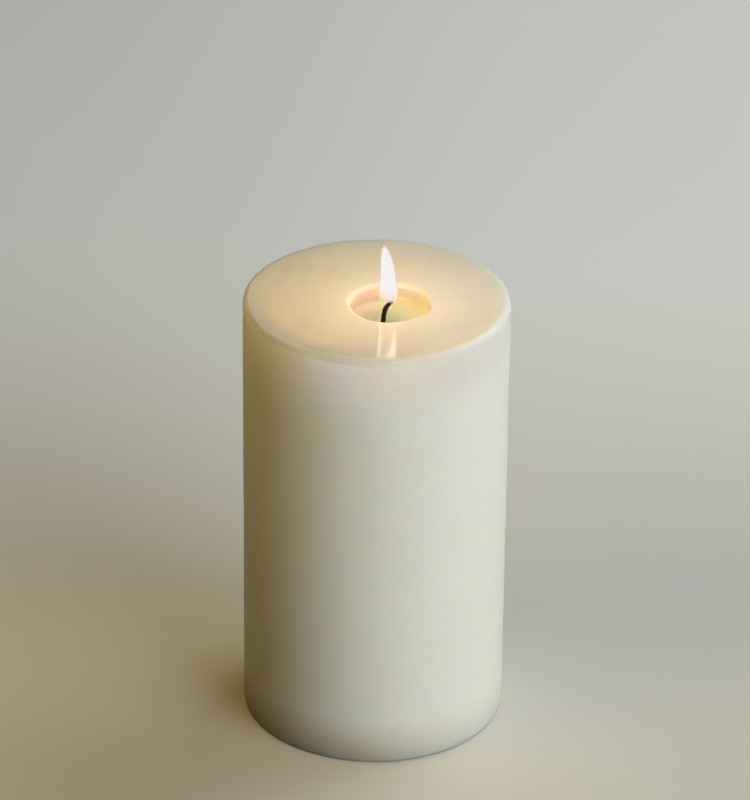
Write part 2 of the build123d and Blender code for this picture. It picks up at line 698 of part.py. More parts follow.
with BuildPart() as battery_door:
    with BuildSketch(Plane.XY.offset(COVER_Z)):
        RectangleRounded(2 * DOOR_X, 2 * DOOR_Y, 0.8)
    extrude(amount=DOOR_T)
    # stiffening ribs inside
    with BuildSketch(Plane.XY.offset(COVER_Z + DOOR_T)):
        with Locations((0, 13.6), (0, -12.0)):
            Rectangle(50, 1.0)
        with Locations((-24.5, 0.8), (24.5, 0.8)):
            Rectangle(1.0, 24.8)
    extrude(amount=1.2)
    # spring tongue of the latch, with a ridged grip, between two slits
    with BuildSketch(Plane.XY.offset(COVER_Z)):
        with Locations((TONGUE_X, TONGUE_L / 2 - DOOR_Y), (-TONGUE_X, TONGUE_L / 2 - DOOR_Y)):
            Rectangle(SLIT_W, TONGUE_L)
    extrude(amount=DOOR_T + 1.2, mode=Mode.SUBTRACT)
    with BuildSketch(Plane.XY.offset(COVER_Z)):
        with GridLocations(0, 1.4, 1, 3):
            with Locations((0, 3.0 - DOOR_Y)):
                Rectangle(8.0, 0.7)
    extrude(amount=-GRIP_T)
    for left, right in DOOR_KNUCKLES:
        with BuildSketch(along_x(left, HINGE_Y, HINGE_Z)):
            Circle(KNUCKLE_R)
            with Locations((-0.9, (COVER_Z + DOOR_T / 2) - HINGE_Z)):
                Rectangle(1.8, DOOR_T)
            Circle(PIN_R + RUNNING_FIT, mode=Mode.SUBTRACT)
        extrude(amount=right - left)

with BuildPart() as door_pin:
    with BuildSketch(along_x(-PIN_END, HINGE_Y, HINGE_Z)):
        Circle(PIN_R)
    extrude(amount=2 * PIN_END)

PAD_Z = COVER_Z + DOOR_T
with BuildPart() as door_pad:
    with BuildSketch(Plane.XY.offset(PAD_Z)):
        RectangleRounded(38, 20, 1.5)
    extrude(amount=2.0)
    fillet(door_pad.edges().group_by(Axis.Z)[-1], 0.5)

with BuildPart() as base_screws:
    with Locations(*[(x, y, COVER_Z + 0.05) for x, y in COVER_SCREWS]):
        Cone(2.7, 1.0, 1.7, align=(Align.CENTER, Align.CENTER, Align.MIN))
        Cylinder(1.0, 11, align=(Align.CENTER, Align.CENTER, Align.MIN))
    # cross recess in each head
    with BuildSketch(Plane.XY.offset(COVER_Z)):
        with Locations(*COVER_SCREWS):
            Rectangle(2.8, 0.55)
            Rectangle(0.55, 2.8)
    extrude(amount=0.7, mode=Mode.SUBTRACT)

# ---------------------------------------------------------------- switch
KNOB_L, KNOB_W = 4.6, 2.8
STEM_L, STEM_W = 3.0, 1.8
STEM_TOP = 5.2
KNOB_Z = 0.2

with BuildPart() as switch_body:
    with BuildSketch(Plane((0, SWITCH_Y, SWITCH_Z))):
        Rectangle(2 * SWITCH_X, SWITCH_W)
    extrude(amount=SWITCH_H)
    fillet(switch_body.edges().group_by(Axis.Z)[-1], 0.5)
    with BuildSketch(Plane((0, SWITCH_Y, SWITCH_Z))):
        Rectangle(STEM_L + SWITCH_TRAVEL + 0.8, STEM_W + 0.5)
    extrude(amount=STEM_TOP + 0.4 - SWITCH_Z, mode=Mode.SUBTRACT)

with BuildPart() as switch_knob:
    with BuildSketch(Plane((KNOB_X, SWITCH_Y, KNOB_Z))):
        Rectangle(KNOB_L, KNOB_W)
    extrude(amount=SWITCH_Z - 0.2 - KNOB_Z)
    chamfer(switch_knob.edges().group_by(Axis.Z)[0], 0.3)
    with BuildSketch(Plane((KNOB_X, SWITCH_Y, KNOB_Z))):
        Rectangle(STEM_L, STEM_W)
    extrude(amount=STEM_TOP - KNOB_Z)
    # thumb grooves
    with BuildSketch(Plane((KNOB_X, SWITCH_Y, KNOB_Z))):
        with GridLocations(1.2, 0, 3, 1):
            Rectangle(0.5, KNOB_W)
    extrude(amount=0.35, mode=Mode.SUBTRACT)

TERMINAL_X = 2.5
TERMINAL_TOP = SWITCH_Z + SWITCH_H + 3.0
with BuildPart() as switch_terminals:
    with BuildSketch(Plane((0, SWITCH_Y, SWITCH_Z + SWITCH_H))):
        with GridLocations(TERMINAL_X, 0, 3, 1):
            Rectangle(0.9, 0.5)
    extrude(amount=TERMINAL_TOP - SWITCH_Z - SWITCH_H)

# ---------------------------------------------------------------- leads
LEAD_EXIT_Z = 24.2


def lead(route):
    """Insulated lead along a list of points, with an arc at each corner."""
    radii = bend_radii(route)
    with BuildPart() as wire:
        with BuildLine():
            FilletPolyline(*route, radius=radii)
        with BuildSketch(Plane(origin=route[0], z_dir=Vector(route[1]) - Vector(route[0]))):
            Circle(LEAD_R)
        sweep()
    print("lead:", round(wire.part.volume, 1), "mm3, radii", [round(r, 1) for r in radii])
    return wire


red_lead = lead((
    (CONTACT_X, CELL_Y, LEAD_EXIT_Z),
    (24.4, 7.0, 24.6),
    (24.6, 0.5, 26.8),
    (26.0, -7.0, 29.8),
    (15.5, -21.5, 30.5),
    (6.0, -25.8, 30.0),
    (TERMINAL_X, SWITCH_Y, 25.5),
    (TERMINAL_X, SWITCH_Y, TERMINAL_TOP),
))
black_lead = lead((
    (CONTACT_X, -CELL_Y, LEAD_EXIT_Z),
    (24.3, -7.0, 24.8),
    (22.8, -2.6, 30.0),
    (16.0, -0.5, 34.0),
    (9.0, -3.0, 44.0),
    (HEADER_X + 1.2, HEADER_Y, 60.0),
    (HEADER_X + 1.2, HEADER_Y, PLUG_Z),
))
switch_lead = lead((
    (-TERMINAL_X, SWITCH_Y, TERMINAL_TOP),
    (-TERMINAL_X, SWITCH_Y, 27.0),
    (-1.0, -19.5, 34.5),
    (2.4, -12.5, 40.5),
    (HEADER_X - 1.6, -7.5, 52.0),
    (HEADER_X - 1.2, HEADER_Y, 64.0),
    (HEADER_X - 1.2, HEADER_Y, PLUG_Z),
))

# ---------------------------------------------------------------- one file for each piece
PIECES = {
    "wax_shell": wax_shell,
    "pool_insert": pool_insert,
    "flame_lens": flame_lens,
    "flame_led": flame_led,
    "wick": wick,
    "flame_carrier": flame_carrier,
    "magnet": magnet,
    "pivot_wire": pivot_wire,
    "pivot_spacers": pivot_spacers,
    "head_cup": head_cup,
    "coil_bobbin": coil_bobbin,
    "drive_coil": drive_coil,
    "control_board": control_board,
    "board_header": board_header,
    "lead_plug": lead_plug,
    "board_chip": board_chip,
    "board_capacitor": board_capacitor,
    "board_parts": board_parts,
    "board_screws": board_screws,
    "flame_leads": flame_leads,
    "light_tower": light_tower,
    "tower_screws": tower_screws,
    "battery_case": battery_case,
    "battery_a": battery_a,
    "battery_b": battery_b,
    "positive_plate": positive_plate,
    "negative_plate": negative_plate,
    "negative_spring": negative_spring,
    "bridge_plate": bridge_plate,
    "bridge_spring": bridge_spring,
    "base_cover": base_cover,
    "base_screws": base_screws,
    "battery_door": battery_door,
    "door_pin": door_pin,
    "door_pad": door_pad,
    "switch_body": switch_body,
    "switch_knob": switch_knob,
    "switch_terminals": switch_terminals,
    "red_lead": red_lead,
    "black_lead": black_lead,
    "switch_lead": switch_lead,
}
for name, piece in PIECES.items():
    write(piece, name)
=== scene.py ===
"""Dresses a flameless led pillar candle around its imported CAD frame.

The candle is a cast wax shell with a moulded melt pool, a flame-shaped lens on a black
wick that sways on a wire, and a battery base with a door and a slide switch underneath.
"""

import logging
import math
from dataclasses import dataclass, field
from functools import cached_property

import bmesh
import bpy
from mathutils import Matrix, Vector, noise


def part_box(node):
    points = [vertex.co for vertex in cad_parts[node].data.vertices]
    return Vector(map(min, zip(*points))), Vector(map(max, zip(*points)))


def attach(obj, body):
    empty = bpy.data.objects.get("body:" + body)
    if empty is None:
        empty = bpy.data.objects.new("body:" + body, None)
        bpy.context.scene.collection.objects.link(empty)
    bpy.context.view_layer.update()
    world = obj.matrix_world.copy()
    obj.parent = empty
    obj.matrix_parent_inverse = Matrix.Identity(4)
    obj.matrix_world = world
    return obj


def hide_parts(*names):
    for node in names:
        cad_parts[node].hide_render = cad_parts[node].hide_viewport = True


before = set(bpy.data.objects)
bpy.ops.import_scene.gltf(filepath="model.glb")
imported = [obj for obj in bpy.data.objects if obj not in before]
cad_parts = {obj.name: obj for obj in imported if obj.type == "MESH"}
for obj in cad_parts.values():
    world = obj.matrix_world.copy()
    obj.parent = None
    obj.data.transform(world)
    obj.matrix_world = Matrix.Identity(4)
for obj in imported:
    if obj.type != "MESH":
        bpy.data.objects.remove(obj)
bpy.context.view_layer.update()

LOG = logging.getLogger("candle")
MM = 0.001
WHITE = "#FFFFFF"
BACKDROP = "#C6C6BF"

Socket = bpy.types.NodeSocket


# ------------------------------------------------------------------ shared helpers
def linear(code: str) -> tuple[float, float, float, float]:
    """Turns an sRGB hex colour into linear RGBA.

    Args:
        code: six hex digits after a hash sign.

    Returns:
        Linear red, green and blue, and an alpha of 1.
    """
    channels = [int(code[i:i + 2], 16) / 255 for i in (1, 3, 5)]
    tones = [c / 12.92 if c <= 0.04045 else ((c + 0.055) / 1.055) ** 2.4 for c in channels]
    return (*tones, 1.0)


def add_node(tree: bpy.types.NodeTree, kind: str, inputs: dict | None = None,
             **settings: object) -> bpy.types.Node:
    """Adds one shader node with its settings and links.

    Args:
        tree: the node tree that gets the node.
        kind: the node's type, without the ShaderNode prefix.
        inputs: for each input, by name or index, a value or the socket to link.
        settings: the node's own properties.

    Returns:
        The new node.
    """
    node = tree.nodes.new("ShaderNode" + kind)
    for key, value in settings.items():
        setattr(node, key, value)
    for key, value in (inputs or {}).items():
        if isinstance(value, Socket):
            tree.links.new(value, node.inputs[key])
        else:
            node.inputs[key].default_value = value
    return node


class Nodes:
    """Node tree of a material or of the world. Each step returns the socket of its result."""

    def __init__(self, owner: bpy.types.Material | bpy.types.World) -> None:
        """Turns the owner's nodes on and empties its tree.

        Args:
            owner: the material or world.
        """
        owner.use_nodes = True
        self.tree = owner.node_tree
        self.tree.nodes.clear()
        self.shader: bpy.types.Node | None = None

    @cached_property
    def place(self) -> Socket:
        """Object coordinates."""
        return add_node(self.tree, "TexCoord").outputs["Object"]

    @cached_property
    def axes(self) -> list[Socket]:
        """Object coordinates one by one: X, Y and Z."""
        return list(add_node(self.tree, "SeparateXYZ", {"Vector": self.place}).outputs)

    @cached_property
    def seen(self) -> Socket:
        """Factor of 1 on what the camera, a reflection or glass shows, and 0 on light."""
        path = add_node(self.tree, "LightPath")
        seen = path.outputs["Is Camera Ray"]
        for ray in ("Is Glossy Ray", "Is Transmission Ray"):
            seen = self.math("MAXIMUM", seen, path.outputs[ray])
        return seen

    def add(self, kind: str, inputs: dict | None = None, **settings: object) -> Socket:
        """Adds one node, as add_node does, and returns its first output."""
        return add_node(self.tree, kind, inputs, **settings).outputs[0]

    def show(self, surface: Socket, kind: str = "OutputMaterial") -> None:
        """Adds the output node for the finished shader."""
        add_node(self.tree, kind, {"Surface": surface})

    def principled(self, inputs: dict) -> None:
        """Adds the Principled shader and shows it."""
        self.shader = add_node(self.tree, "BsdfPrincipled", inputs)
        self.show(self.shader.outputs[0])

    def feed(self, results: dict[str, Socket]) -> None:
        """Links each result to the shader's input of that name."""
        for key, result in results.items():
            self.tree.links.new(result, self.shader.inputs[key])

    def math(self, operation: str, first: Socket | float, second: Socket | float = 0.0
             ) -> Socket:
        """Works out one sum."""
        return self.add("Math", {0: first, 1: second}, operation=operation)

    def times(self, first: Socket, *others: Socket | float) -> Socket:
        """Multiplies factors.

        Args:
            first: the first factor.
            others: what it is multiplied by in turn.

        Returns:
            The product.
        """
        for other in others:
            first = self.math("MULTIPLY", first, other)
        return first

    def fade(self, value: Socket, start: float, end: float, low: float = 0.0,
             high: float = 1.0, soft: bool = True) -> Socket:
        """Turns a value into a step.

        Args:
            value: the socket to read.
            start: where the step begins.
            end: where the step is complete, which may lie below start.
            low: result before the step.
            high: result after it.
            soft: whether the step eases in and out.

        Returns:
            The step.
        """
        return self.add("MapRange", {"Value": value, "From Min": start, "From Max": end,
                                     "To Min": low, "To Max": high},
                        interpolation_type="SMOOTHSTEP" if soft else "LINEAR")

    def between(self, value: Socket, low: float, high: float) -> Socket:
        """Spreads a value of 0 to 1 evenly between two numbers."""
        return self.fade(value, 0.0, 1.0, low, high, soft=False)

    def mix(self, factor: Socket | float, first: Socket | float, second: Socket | float
            ) -> Socket:
        """Mixes two numbers."""
        return self.add("Mix", {0: factor, 2: first, 3: second})

    def blend(self, factor: Socket | float, first: Socket | str | tuple,
              second: Socket | str | tuple) -> Socket:
        """Mixes two colours.

        Args:
            factor: share of the second colour.
            first: a socket, sRGB hex or linear RGBA.
            second: the same.

        Returns:
            The mixed colour.
        """
        first, second = (linear(item) if isinstance(item, str) else item
                         for item in (first, second))
        return add_node(self.tree, "Mix", {0: factor, 6: first, 7: second},
                        data_type="RGBA").outputs[2]

    def tint(self, colour: Socket, by: Socket) -> Socket:
        """Multiplies a colour by another."""
        return add_node(self.tree, "Mix", {0: 1.0, 6: colour, 7: by}, data_type="RGBA",
                        blend_type="MULTIPLY").outputs[2]

    def noise(self, size: float, detail: float = 3.0,
              stretch: tuple[float, float, float] = (1, 1, 1)) -> Socket:
        """Adds a noise whose features have a real size.

        Args:
            size: size of a feature in millimetres.
            detail: octaves of finer noise on top.
            stretch: scale of the pattern along X, Y and Z.

        Returns:
            The noise's factor, from 0 to 1.
        """
        turned = self.add("Mapping", {"Vector": self.place, "Scale": stretch})
        return self.add("TexNoise", {"Vector": turned, "Scale": 1 / (size * MM),
                                     "Detail": detail})

    def distance(self, x: float = 0.0, y: float = 0.0) -> Socket:
        """Finds the level distance from an upright line.

        Args:
            x: where the line stands along X.
            y: where it stands along Y.

        Returns:
            The distance in metres.
        """
        level = self.add("CombineXYZ", {"X": self.axes[0], "Y": self.axes[1]})
        return add_node(self.tree, "VectorMath", {0: level, 1: (x, y, 0)},
                        operation="DISTANCE").outputs["Value"]

    def bump(self, height: Socket, strength: float, depth: float) -> Socket:
        """Turns a height into relief whose depth is in millimetres."""
        return self.add("Bump", {"Height": height, "Strength": strength,
                                 "Distance": depth * MM})


def mesh_object(name: str, bm: bmesh.types.BMesh, smooth: bool = True) -> bpy.types.Object:
    """Turns a bmesh into an object at the origin of the scene.

    Args:
        name: name of the object and its mesh.
        bm: the finished bmesh, which is freed.
        smooth: whether the faces are shaded smooth.

    Returns:
        The linked object.
    """
    mesh = bpy.data.meshes.new(name)
    bm.to_mesh(mesh)
    bm.free()
    for polygon in mesh.polygons:
        polygon.use_smooth = smooth
    piece = bpy.data.objects.new(name, mesh)
    bpy.context.scene.collection.objects.link(piece)
    return piece


def curve_bmesh(curve: bpy.types.Curve, weld: float) -> bmesh.types.BMesh:
    """Turns a curve into a bmesh.

    Args:
        curve: the curve or text.
        weld: distance in metres within which points are joined.

    Returns:
        The bmesh.
    """
    holder = bpy.data.objects.new(curve.name, curve)
    mesh = bpy.data.meshes.new_from_object(holder)
    bpy.data.objects.remove(holder)
    bm = bmesh.new()
    bm.from_mesh(mesh)
    bpy.data.meshes.remove(mesh)
    bmesh.ops.remove_doubles(bm, verts=bm.verts, dist=weld)
    return bm


def centre_of(node: str) -> Vector:
    """Middle of a CAD node's box, in metres."""
    low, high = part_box(node)
    return (low + high) / 2


@dataclass(frozen=True)
class Ring:
    """One level ring of a lofted shell: centre, height and half widths, in metres."""

    z: float
    half_x: float
    half_y: float
    x: float = 0.0
    y: float = 0.0


def loft_rings(rings: list[Ring], segments: int, closed: bool = False) -> bmesh.types.BMesh:
    """Lofts a shell through level rings by extruding one ring of edges after another.

    Args:
        rings: the rings in order.
        segments: edges in each ring.
        closed: True joins the last ring to the first, False closes both ends with a pole.

    Returns:
        A bmesh whose faces point outwards.
    """
    bm = bmesh.new()
    first = rings[0]
    verts = bmesh.ops.create_circle(bm, segments=segments, radius=1.0)["verts"]
    bmesh.ops.scale(bm, vec=(first.half_x, first.half_y, 1), verts=verts)
    bmesh.ops.translate(bm, vec=(first.x, first.y, first.z), verts=verts)
    start_edges = bm.edges[:]
    start_verts, edges = verts, start_edges
    for before, ring in zip(rings, rings[1:]):
        geometry = bmesh.ops.extrude_edge_only(bm, edges=edges)["geom"]
        verts = [item for item in geometry if isinstance(item, bmesh.types.BMVert)]
        edges = [item for item in geometry if isinstance(item, bmesh.types.BMEdge)
                 and item.is_boundary]
        to_centre = Matrix.Translation((-before.x, -before.y, -before.z))
        stretch = (ring.half_x / before.half_x, ring.half_y / before.half_y, 1)
        bmesh.ops.scale(bm, vec=stretch, space=to_centre, verts=verts)
        shift = (ring.x - before.x, ring.y - before.y, ring.z - before.z)
        bmesh.ops.translate(bm, vec=shift, verts=verts)
    if closed:
        bmesh.ops.bridge_loops(bm, edges=start_edges + edges)
    else:
        last = rings[-1]
        bmesh.ops.pointmerge(bm, verts=start_verts, merge_co=(first.x, first.y, first.z))
        bmesh.ops.pointmerge(bm, verts=verts, merge_co=(last.x, last.y, last.z))
    bmesh.ops.recalc_face_normals(bm, faces=bm.faces)
    return bm


def arc(centre_r: float, centre_z: float, radius: float, start: float, end: float,
        steps: int) -> list[tuple[float, float]]:
    """Points of an arc in a profile.

    Args:
        centre_r: distance of the arc's centre from the axis.
        centre_z: height of the arc's centre.
        radius: the arc's radius.
        start: first angle in degrees, where 0 points away from the axis and 90 up.
        end: last angle in degrees.
        steps: how many spans the arc has.

    Returns:
        Distance from the axis and height of each point.
    """
    points = []
    for step in range(steps + 1):
        angle = math.radians(start + (end - start) * step / steps)
        points.append((centre_r + radius * math.cos(angle),
                       centre_z + radius * math.sin(angle)))
    return points


# ------------------------------------------------------------------ finishes
@dataclass(frozen=True)
class Finish:
    """A finish with one Principled shader, on patterns read in object coordinates."""

    name: str
    color: str
    roughness: float
    ior: float = 1.5
    metallic: float = 0.0

    def material(self) -> bpy.types.Material:
        """Builds the material.

        Returns:
            A material whose nodes are the base shader and this finish's details.
        """
        material = bpy.data.materials.new(self.name)
        nodes = Nodes(material)
        nodes.principled({"Base Color": linear(self.color), "Roughness": self.roughness,
                          "Metallic": self.metallic, "IOR": self.ior})
        self.detail(nodes)
        return material

    def detail(self, nodes: Nodes) -> None:
        """Adds what this finish shows besides its plain colour and gloss.

        Args:
            nodes: the material's nodes, with the Principled shader.
        """


@dataclass(frozen=True)
class MouldedPlastic(Finish):
    """Injection-moulded ABS. A spark-eroded mould leaves a fine even grain."""

    grain: float = 0.45
    depth: float = 0.012

    def detail(self, nodes: Nodes) -> None:
        """Adds the grain as a bump, and faint flow marks in colour and gloss."""
        grain, flow = nodes.noise(self.grain, 2.0), nodes.noise(14.0, 2.0)
        base = linear(self.color)
        darker = tuple(0.88 * c for c in base[:3]) + (1.0,)
        nodes.feed({
            "Base Color": nodes.blend(flow, darker, base),
            "Roughness": nodes.between(grain, self.roughness - 0.07, self.roughness + 0.09),
            "Normal": nodes.bump(grain, 0.6, self.depth)})


@dataclass(frozen=True)
class RolledMetal(Finish):
    """Drawn or rolled metal. The tool leaves fine lines along one direction."""

    lines: tuple[float, float, float] = (0.06, 1.0, 1.0)

    def detail(self, nodes: Nodes) -> None:
        """Adds the tool lines to gloss and bump, and handling marks to the gloss."""
        lines, marks = nodes.noise(0.35, 2.0, self.lines), nodes.noise(4.0, 4.0)
        nodes.feed({
            "Roughness": nodes.fade(nodes.times(lines, marks), 0.0, 0.5,
                                    self.roughness - 0.08, self.roughness + 0.16, soft=False),
            "Normal": nodes.bump(lines, 0.4, 0.01)})


@dataclass(frozen=True)
class CastWax(Finish):
    """Cast paraffin wax. Light goes several millimetres into it and comes back warmer.

    The sides are satin with faint casting streaks, the top has melted and set again, so
    it is smooth and glossy, and the wall of the pool is wet with melted wax.
    """

    melt_x: float = 0.0
    melt_y: float = 0.0
    pool_z: float = 0.0
    top_z: float = 0.0
    light_depth: float = 13.0 * MM
    depth_by_color: tuple[float, float, float] = (1.0, 0.66, 0.34)
    warm_color: str = "#EFE9DA"
    melt_color: str = "#EFD3AE"
    deep_color: str = "#F1DFA8"
    wall_painted_light_left: str = "#EED0BA"
    wall_painted_light_right: str = "#F7E7D6"
    lit_color: str = "#FFE9BE"
    lit_strength: float = 0.16
    top_painted_light_left: str = "#FAF1DC"
    top_painted_light_right: str = WHITE
    rim_painted_shade_color: str = "#E5ECFC"
    pale_band_color: str = "#F6F8FF"
    side_painted_shade_color: str = "#EDF0F6"
    foot_painted_shade_color: str = "#C4BCAE"
    line_color: str = "#F8F6F2"

    def detail(self, nodes: Nodes) -> None:
        """Adds translucency, wax tones with painted light and shade, and the yellow melt
        pool.
        """
        for key, value in {
                "Subsurface Weight": 1.0, "Subsurface Radius": self.depth_by_color,
                "Subsurface Scale": self.light_depth, "Subsurface Anisotropy": 0.3,
                "Emission Color": linear(self.lit_color)}.items():
            nodes.shader.inputs[key].default_value = value
        body = nodes.tint(self.cast(nodes), self.foot_shade_and_lines(nodes))
        body = nodes.tint(body, self.top_painted_light(nodes))
        # the melted wax in the pool is clear yellow, and deeper to the right of the wick
        wet, wall = self.pool_masks(nodes)
        across = nodes.fade(nodes.axes[0], self.melt_x - 9 * MM, self.melt_x + 5 * MM)
        # painted flame light and shade on the pool's wall: pink and darker on the left, paler
        # on the right
        body = nodes.blend(wall, body, nodes.blend(across, self.wall_painted_light_left, self.wall_painted_light_right))
        body = nodes.blend(wet, body, nodes.blend(across, self.melt_color, self.deep_color))
        # the lamp under the pool shines through its floor
        nodes.feed({"Base Color": body,
                    "Emission Strength": nodes.times(wet, across, self.lit_strength)})
        self.surface(nodes, wet)

    def under_rim(self, nodes: Nodes, start: float, full: float, end: float) -> Socket:
        """Finds a band of the side.

        Args:
            nodes: the material's nodes.
            start: how far under the top the band begins, in millimetres.
            full: how far under the top it is complete.
            end: how far under the top it begins to fade out.

        Returns:
            A factor of 1 on the band.
        """
        height = nodes.axes[2]
        return nodes.times(
            nodes.fade(height, self.top_z - start * MM, self.top_z - full * MM),
            nodes.fade(height, self.top_z, self.top_z - end * MM))

    def cast(self, nodes: Nodes) -> Socket:
        """Colours the wax as it set in its mould, with a pale band and painted shade under
        the rim.

        Args:
            nodes: the material's nodes.

        Returns:
            The mottled colour, paler on the left under the rim, and greyer on the right under
            it with painted shade.
        """
        across = nodes.axes[0]
        # crystals set in clouds of a few millimetres, which lightens and warms the wax
        mottle = nodes.mix(0.5, nodes.noise(7.0, 4.0), nodes.noise(26.0, 2.0))
        body = nodes.blend(nodes.fade(mottle, 0.3, 0.7, soft=False),
                           self.warm_color, self.color)
        # a paler, bluer band under the rim, most on the left
        pale_band = nodes.times(self.under_rim(nodes, 26, 4, 1.6),
                            nodes.fade(across, 12 * MM, -24 * MM))
        # painted shade: greyer under the rim on the right
        shade = nodes.times(self.under_rim(nodes, 24, 3, 1.2),
                            nodes.fade(across, 2 * MM, 24 * MM))
        return nodes.tint(nodes.blend(pale_band, body, self.pale_band_color),
                          nodes.blend(shade, WHITE, self.side_painted_shade_color))

    def top_painted_light(self, nodes: Nodes) -> Socket:
        """Finds the painted light and shade on the top.

        Args:
            nodes: the material's nodes.

        Returns:
            A tint of painted light and shade: yellower on the left, greyer on the front edge,
                white on the side.
        """
        x, y, z = nodes.axes
        # painted warm light: the top is yellower on the left
        skin = nodes.blend(nodes.fade(x, -28 * MM, 34 * MM, soft=False),
                           self.top_painted_light_left, self.top_painted_light_right)
        # painted shade on the top's front edge, most on the left
        edge = nodes.times(nodes.fade(nodes.distance(), 29.5 * MM, 36.5 * MM),
                           nodes.fade(x, 22 * MM, -14 * MM), nodes.fade(y, 6 * MM, -14 * MM))
        front = nodes.times(nodes.fade(y, -25 * MM, -37 * MM),
                            nodes.fade(x, 14 * MM, -12 * MM, 0.3))
        rim_shade = nodes.blend(nodes.math("MAXIMUM", edge, front), WHITE, self.rim_painted_shade_color)
        on_top = nodes.fade(z, self.top_z - 2.3 * MM, self.top_z - 0.8 * MM)
        return nodes.blend(on_top, WHITE, nodes.tint(skin, rim_shade))

    def foot_shade_and_lines(self, nodes: Nodes) -> Socket:
        """Finds where the wax is darker: painted shade at the foot, and drawing lines.

        Args:
            nodes: the material's nodes.

        Returns:
            A tint of painted shade at the foot, most on the left, and of level drawing
            lines under the rim.
        """
        x, _, z = nodes.axes
        # painted shade: darker towards the foot, most on the left
        shaded_foot = nodes.times(nodes.fade(z, 16 * MM, 0.0),
                            nodes.fade(x, -10 * MM, 30 * MM, 1.0, 0.3, soft=False))
        lines = nodes.noise(1.3, 3.0, (0.11, 0.11, 1.0))
        drawn = nodes.times(nodes.fade(lines, 0.55, 0.78, soft=False),
                            nodes.fade(z, self.top_z - 16 * MM, self.top_z - 5 * MM))
        return nodes.blend(drawn, nodes.blend(shaded_foot, WHITE, self.foot_painted_shade_color),
                           self.line_color)

    def pool_masks(self, nodes: Nodes) -> tuple[Socket, Socket]:
        """Finds the melt pool.

        Args:
            nodes: the material's nodes.

        Returns:
            A factor of 1 on the pool's floor, and one of 1 on the floor and the wall.
        """
        from_axis = nodes.distance(self.melt_x, self.melt_y)
        rim = (self.top_z - self.pool_z) / MM + 0.4
        floor, wall = (
            nodes.times(nodes.fade(from_axis, edge * MM, (edge - 2.0) * MM),
                        nodes.fade(nodes.axes[2], self.pool_z + top * MM,
                                   self.pool_z + (top - 1.8) * MM))
            for edge, top in ((12.4, 1.6), (13.6, rim)))
        return floor, wall

    def surface(self, nodes: Nodes, wet: Socket) -> None:
        """Adds gloss and relief.

        Args:
            nodes: the material's nodes.
            wet: factor of 1 on the melt pool.
        """
        # the top melted and set again, which leaves it glossy; rim and side are satin
        melted = nodes.times(
            nodes.fade(nodes.distance(), 37.0 * MM, 35.0 * MM),
            nodes.fade(nodes.axes[2], self.top_z - 8.0 * MM, self.top_z - 7.0 * MM,
                       soft=False))
        haze = nodes.noise(2.2, 3.0)
        dry = nodes.mix(melted, nodes.between(haze, 0.44, 0.6),
                        nodes.between(haze, 0.06, 0.11))
        # relief: pores and level casting streaks on the side, soft ripples on the top
        pores, streaks = nodes.noise(0.5, 3.0), nodes.noise(1.1, 3.0, (0.12, 0.12, 1.0))
        relief = nodes.mix(melted, nodes.mix(0.45, pores, streaks),
                           nodes.noise(3.2, 1.0, (0.3, 1.0, 1.0)))
        nodes.feed({"Roughness": nodes.mix(wet, dry, 0.08),
                    "Normal": nodes.bump(relief, 0.7, 0.06)})


@dataclass(frozen=True)
class CharredSleeve(Finish):
    """Woven sleeve that looks like a burnt cotton wick: matt black-brown and lumpy."""

    ash_color: str = "#3A2414"

    def detail(self, nodes: Nodes) -> None:
        """Adds brown fibre ends over the soot, and their relief."""
        fibres = nodes.noise(0.25, 4.0, (1.0, 1.0, 0.45))
        thin = nodes.fade(fibres, 0.5, 0.75, soft=False)
        nodes.feed({"Base Color": nodes.blend(thin, self.color, self.ash_color),
                    "Normal": nodes.bump(fibres, 1.0, 0.12)})


@dataclass(frozen=True)
class SoftPvc(Finish):
    """Extruded PVC on a stranded lead: soft gloss over a barely lumpy skin."""

    def detail(self, nodes: Nodes) -> None:
        """Adds the lay of the strands as a shallow bump."""
        strands = nodes.noise(0.6, 2.0)
        nodes.feed({
            "Roughness": nodes.between(strands, self.roughness - 0.08, self.roughness + 0.1),
            "Normal": nodes.bump(strands, 0.5, 0.03)})


@dataclass(frozen=True)
class CopperWinding(Finish):
    """Enamelled copper wire wound in layers."""

    pitch: float = 0.45
    gap_color: str = "#6E2F12"

    def detail(self, nodes: Nodes) -> None:
        """Adds ridges for the turns of wire."""
        turns = add_node(nodes.tree, "TexWave", {
            "Vector": nodes.place, "Scale": 1 / (self.pitch * MM) / 20.0, "Distortion": 0.6,
            "Detail": 1.0}, bands_direction="Z").outputs["Fac"]
        nodes.feed({"Base Color": nodes.blend(turns, self.gap_color, self.color),
                    "Normal": nodes.bump(turns, 0.8, 0.1)})


@dataclass(frozen=True)
class SolderMask(Finish):
    """Green solder mask on glass laminate, with the copper tracks showing lighter."""

    track_color: str = "#2E8A52"
    track_pitch: float = 1.6

    def detail(self, nodes: Nodes) -> None:
        """Adds a grid of tracks in colour and relief."""
        black, white = (0, 0, 0, 1), (1, 1, 1, 1)
        tracks = nodes.add("TexBrick", {
            "Vector": nodes.place, "Scale": 1.0, "Brick Width": 4 * self.track_pitch * MM,
            "Row Height": self.track_pitch * MM, "Mortar Size": 0.18 * MM,
            "Mortar Smooth": 0.1, "Color1": black, "Color2": black, "Mortar": white})
        nodes.feed({"Base Color": nodes.blend(tracks, self.color, self.track_color),
                    "Normal": nodes.bump(tracks, 0.5, 0.04)})


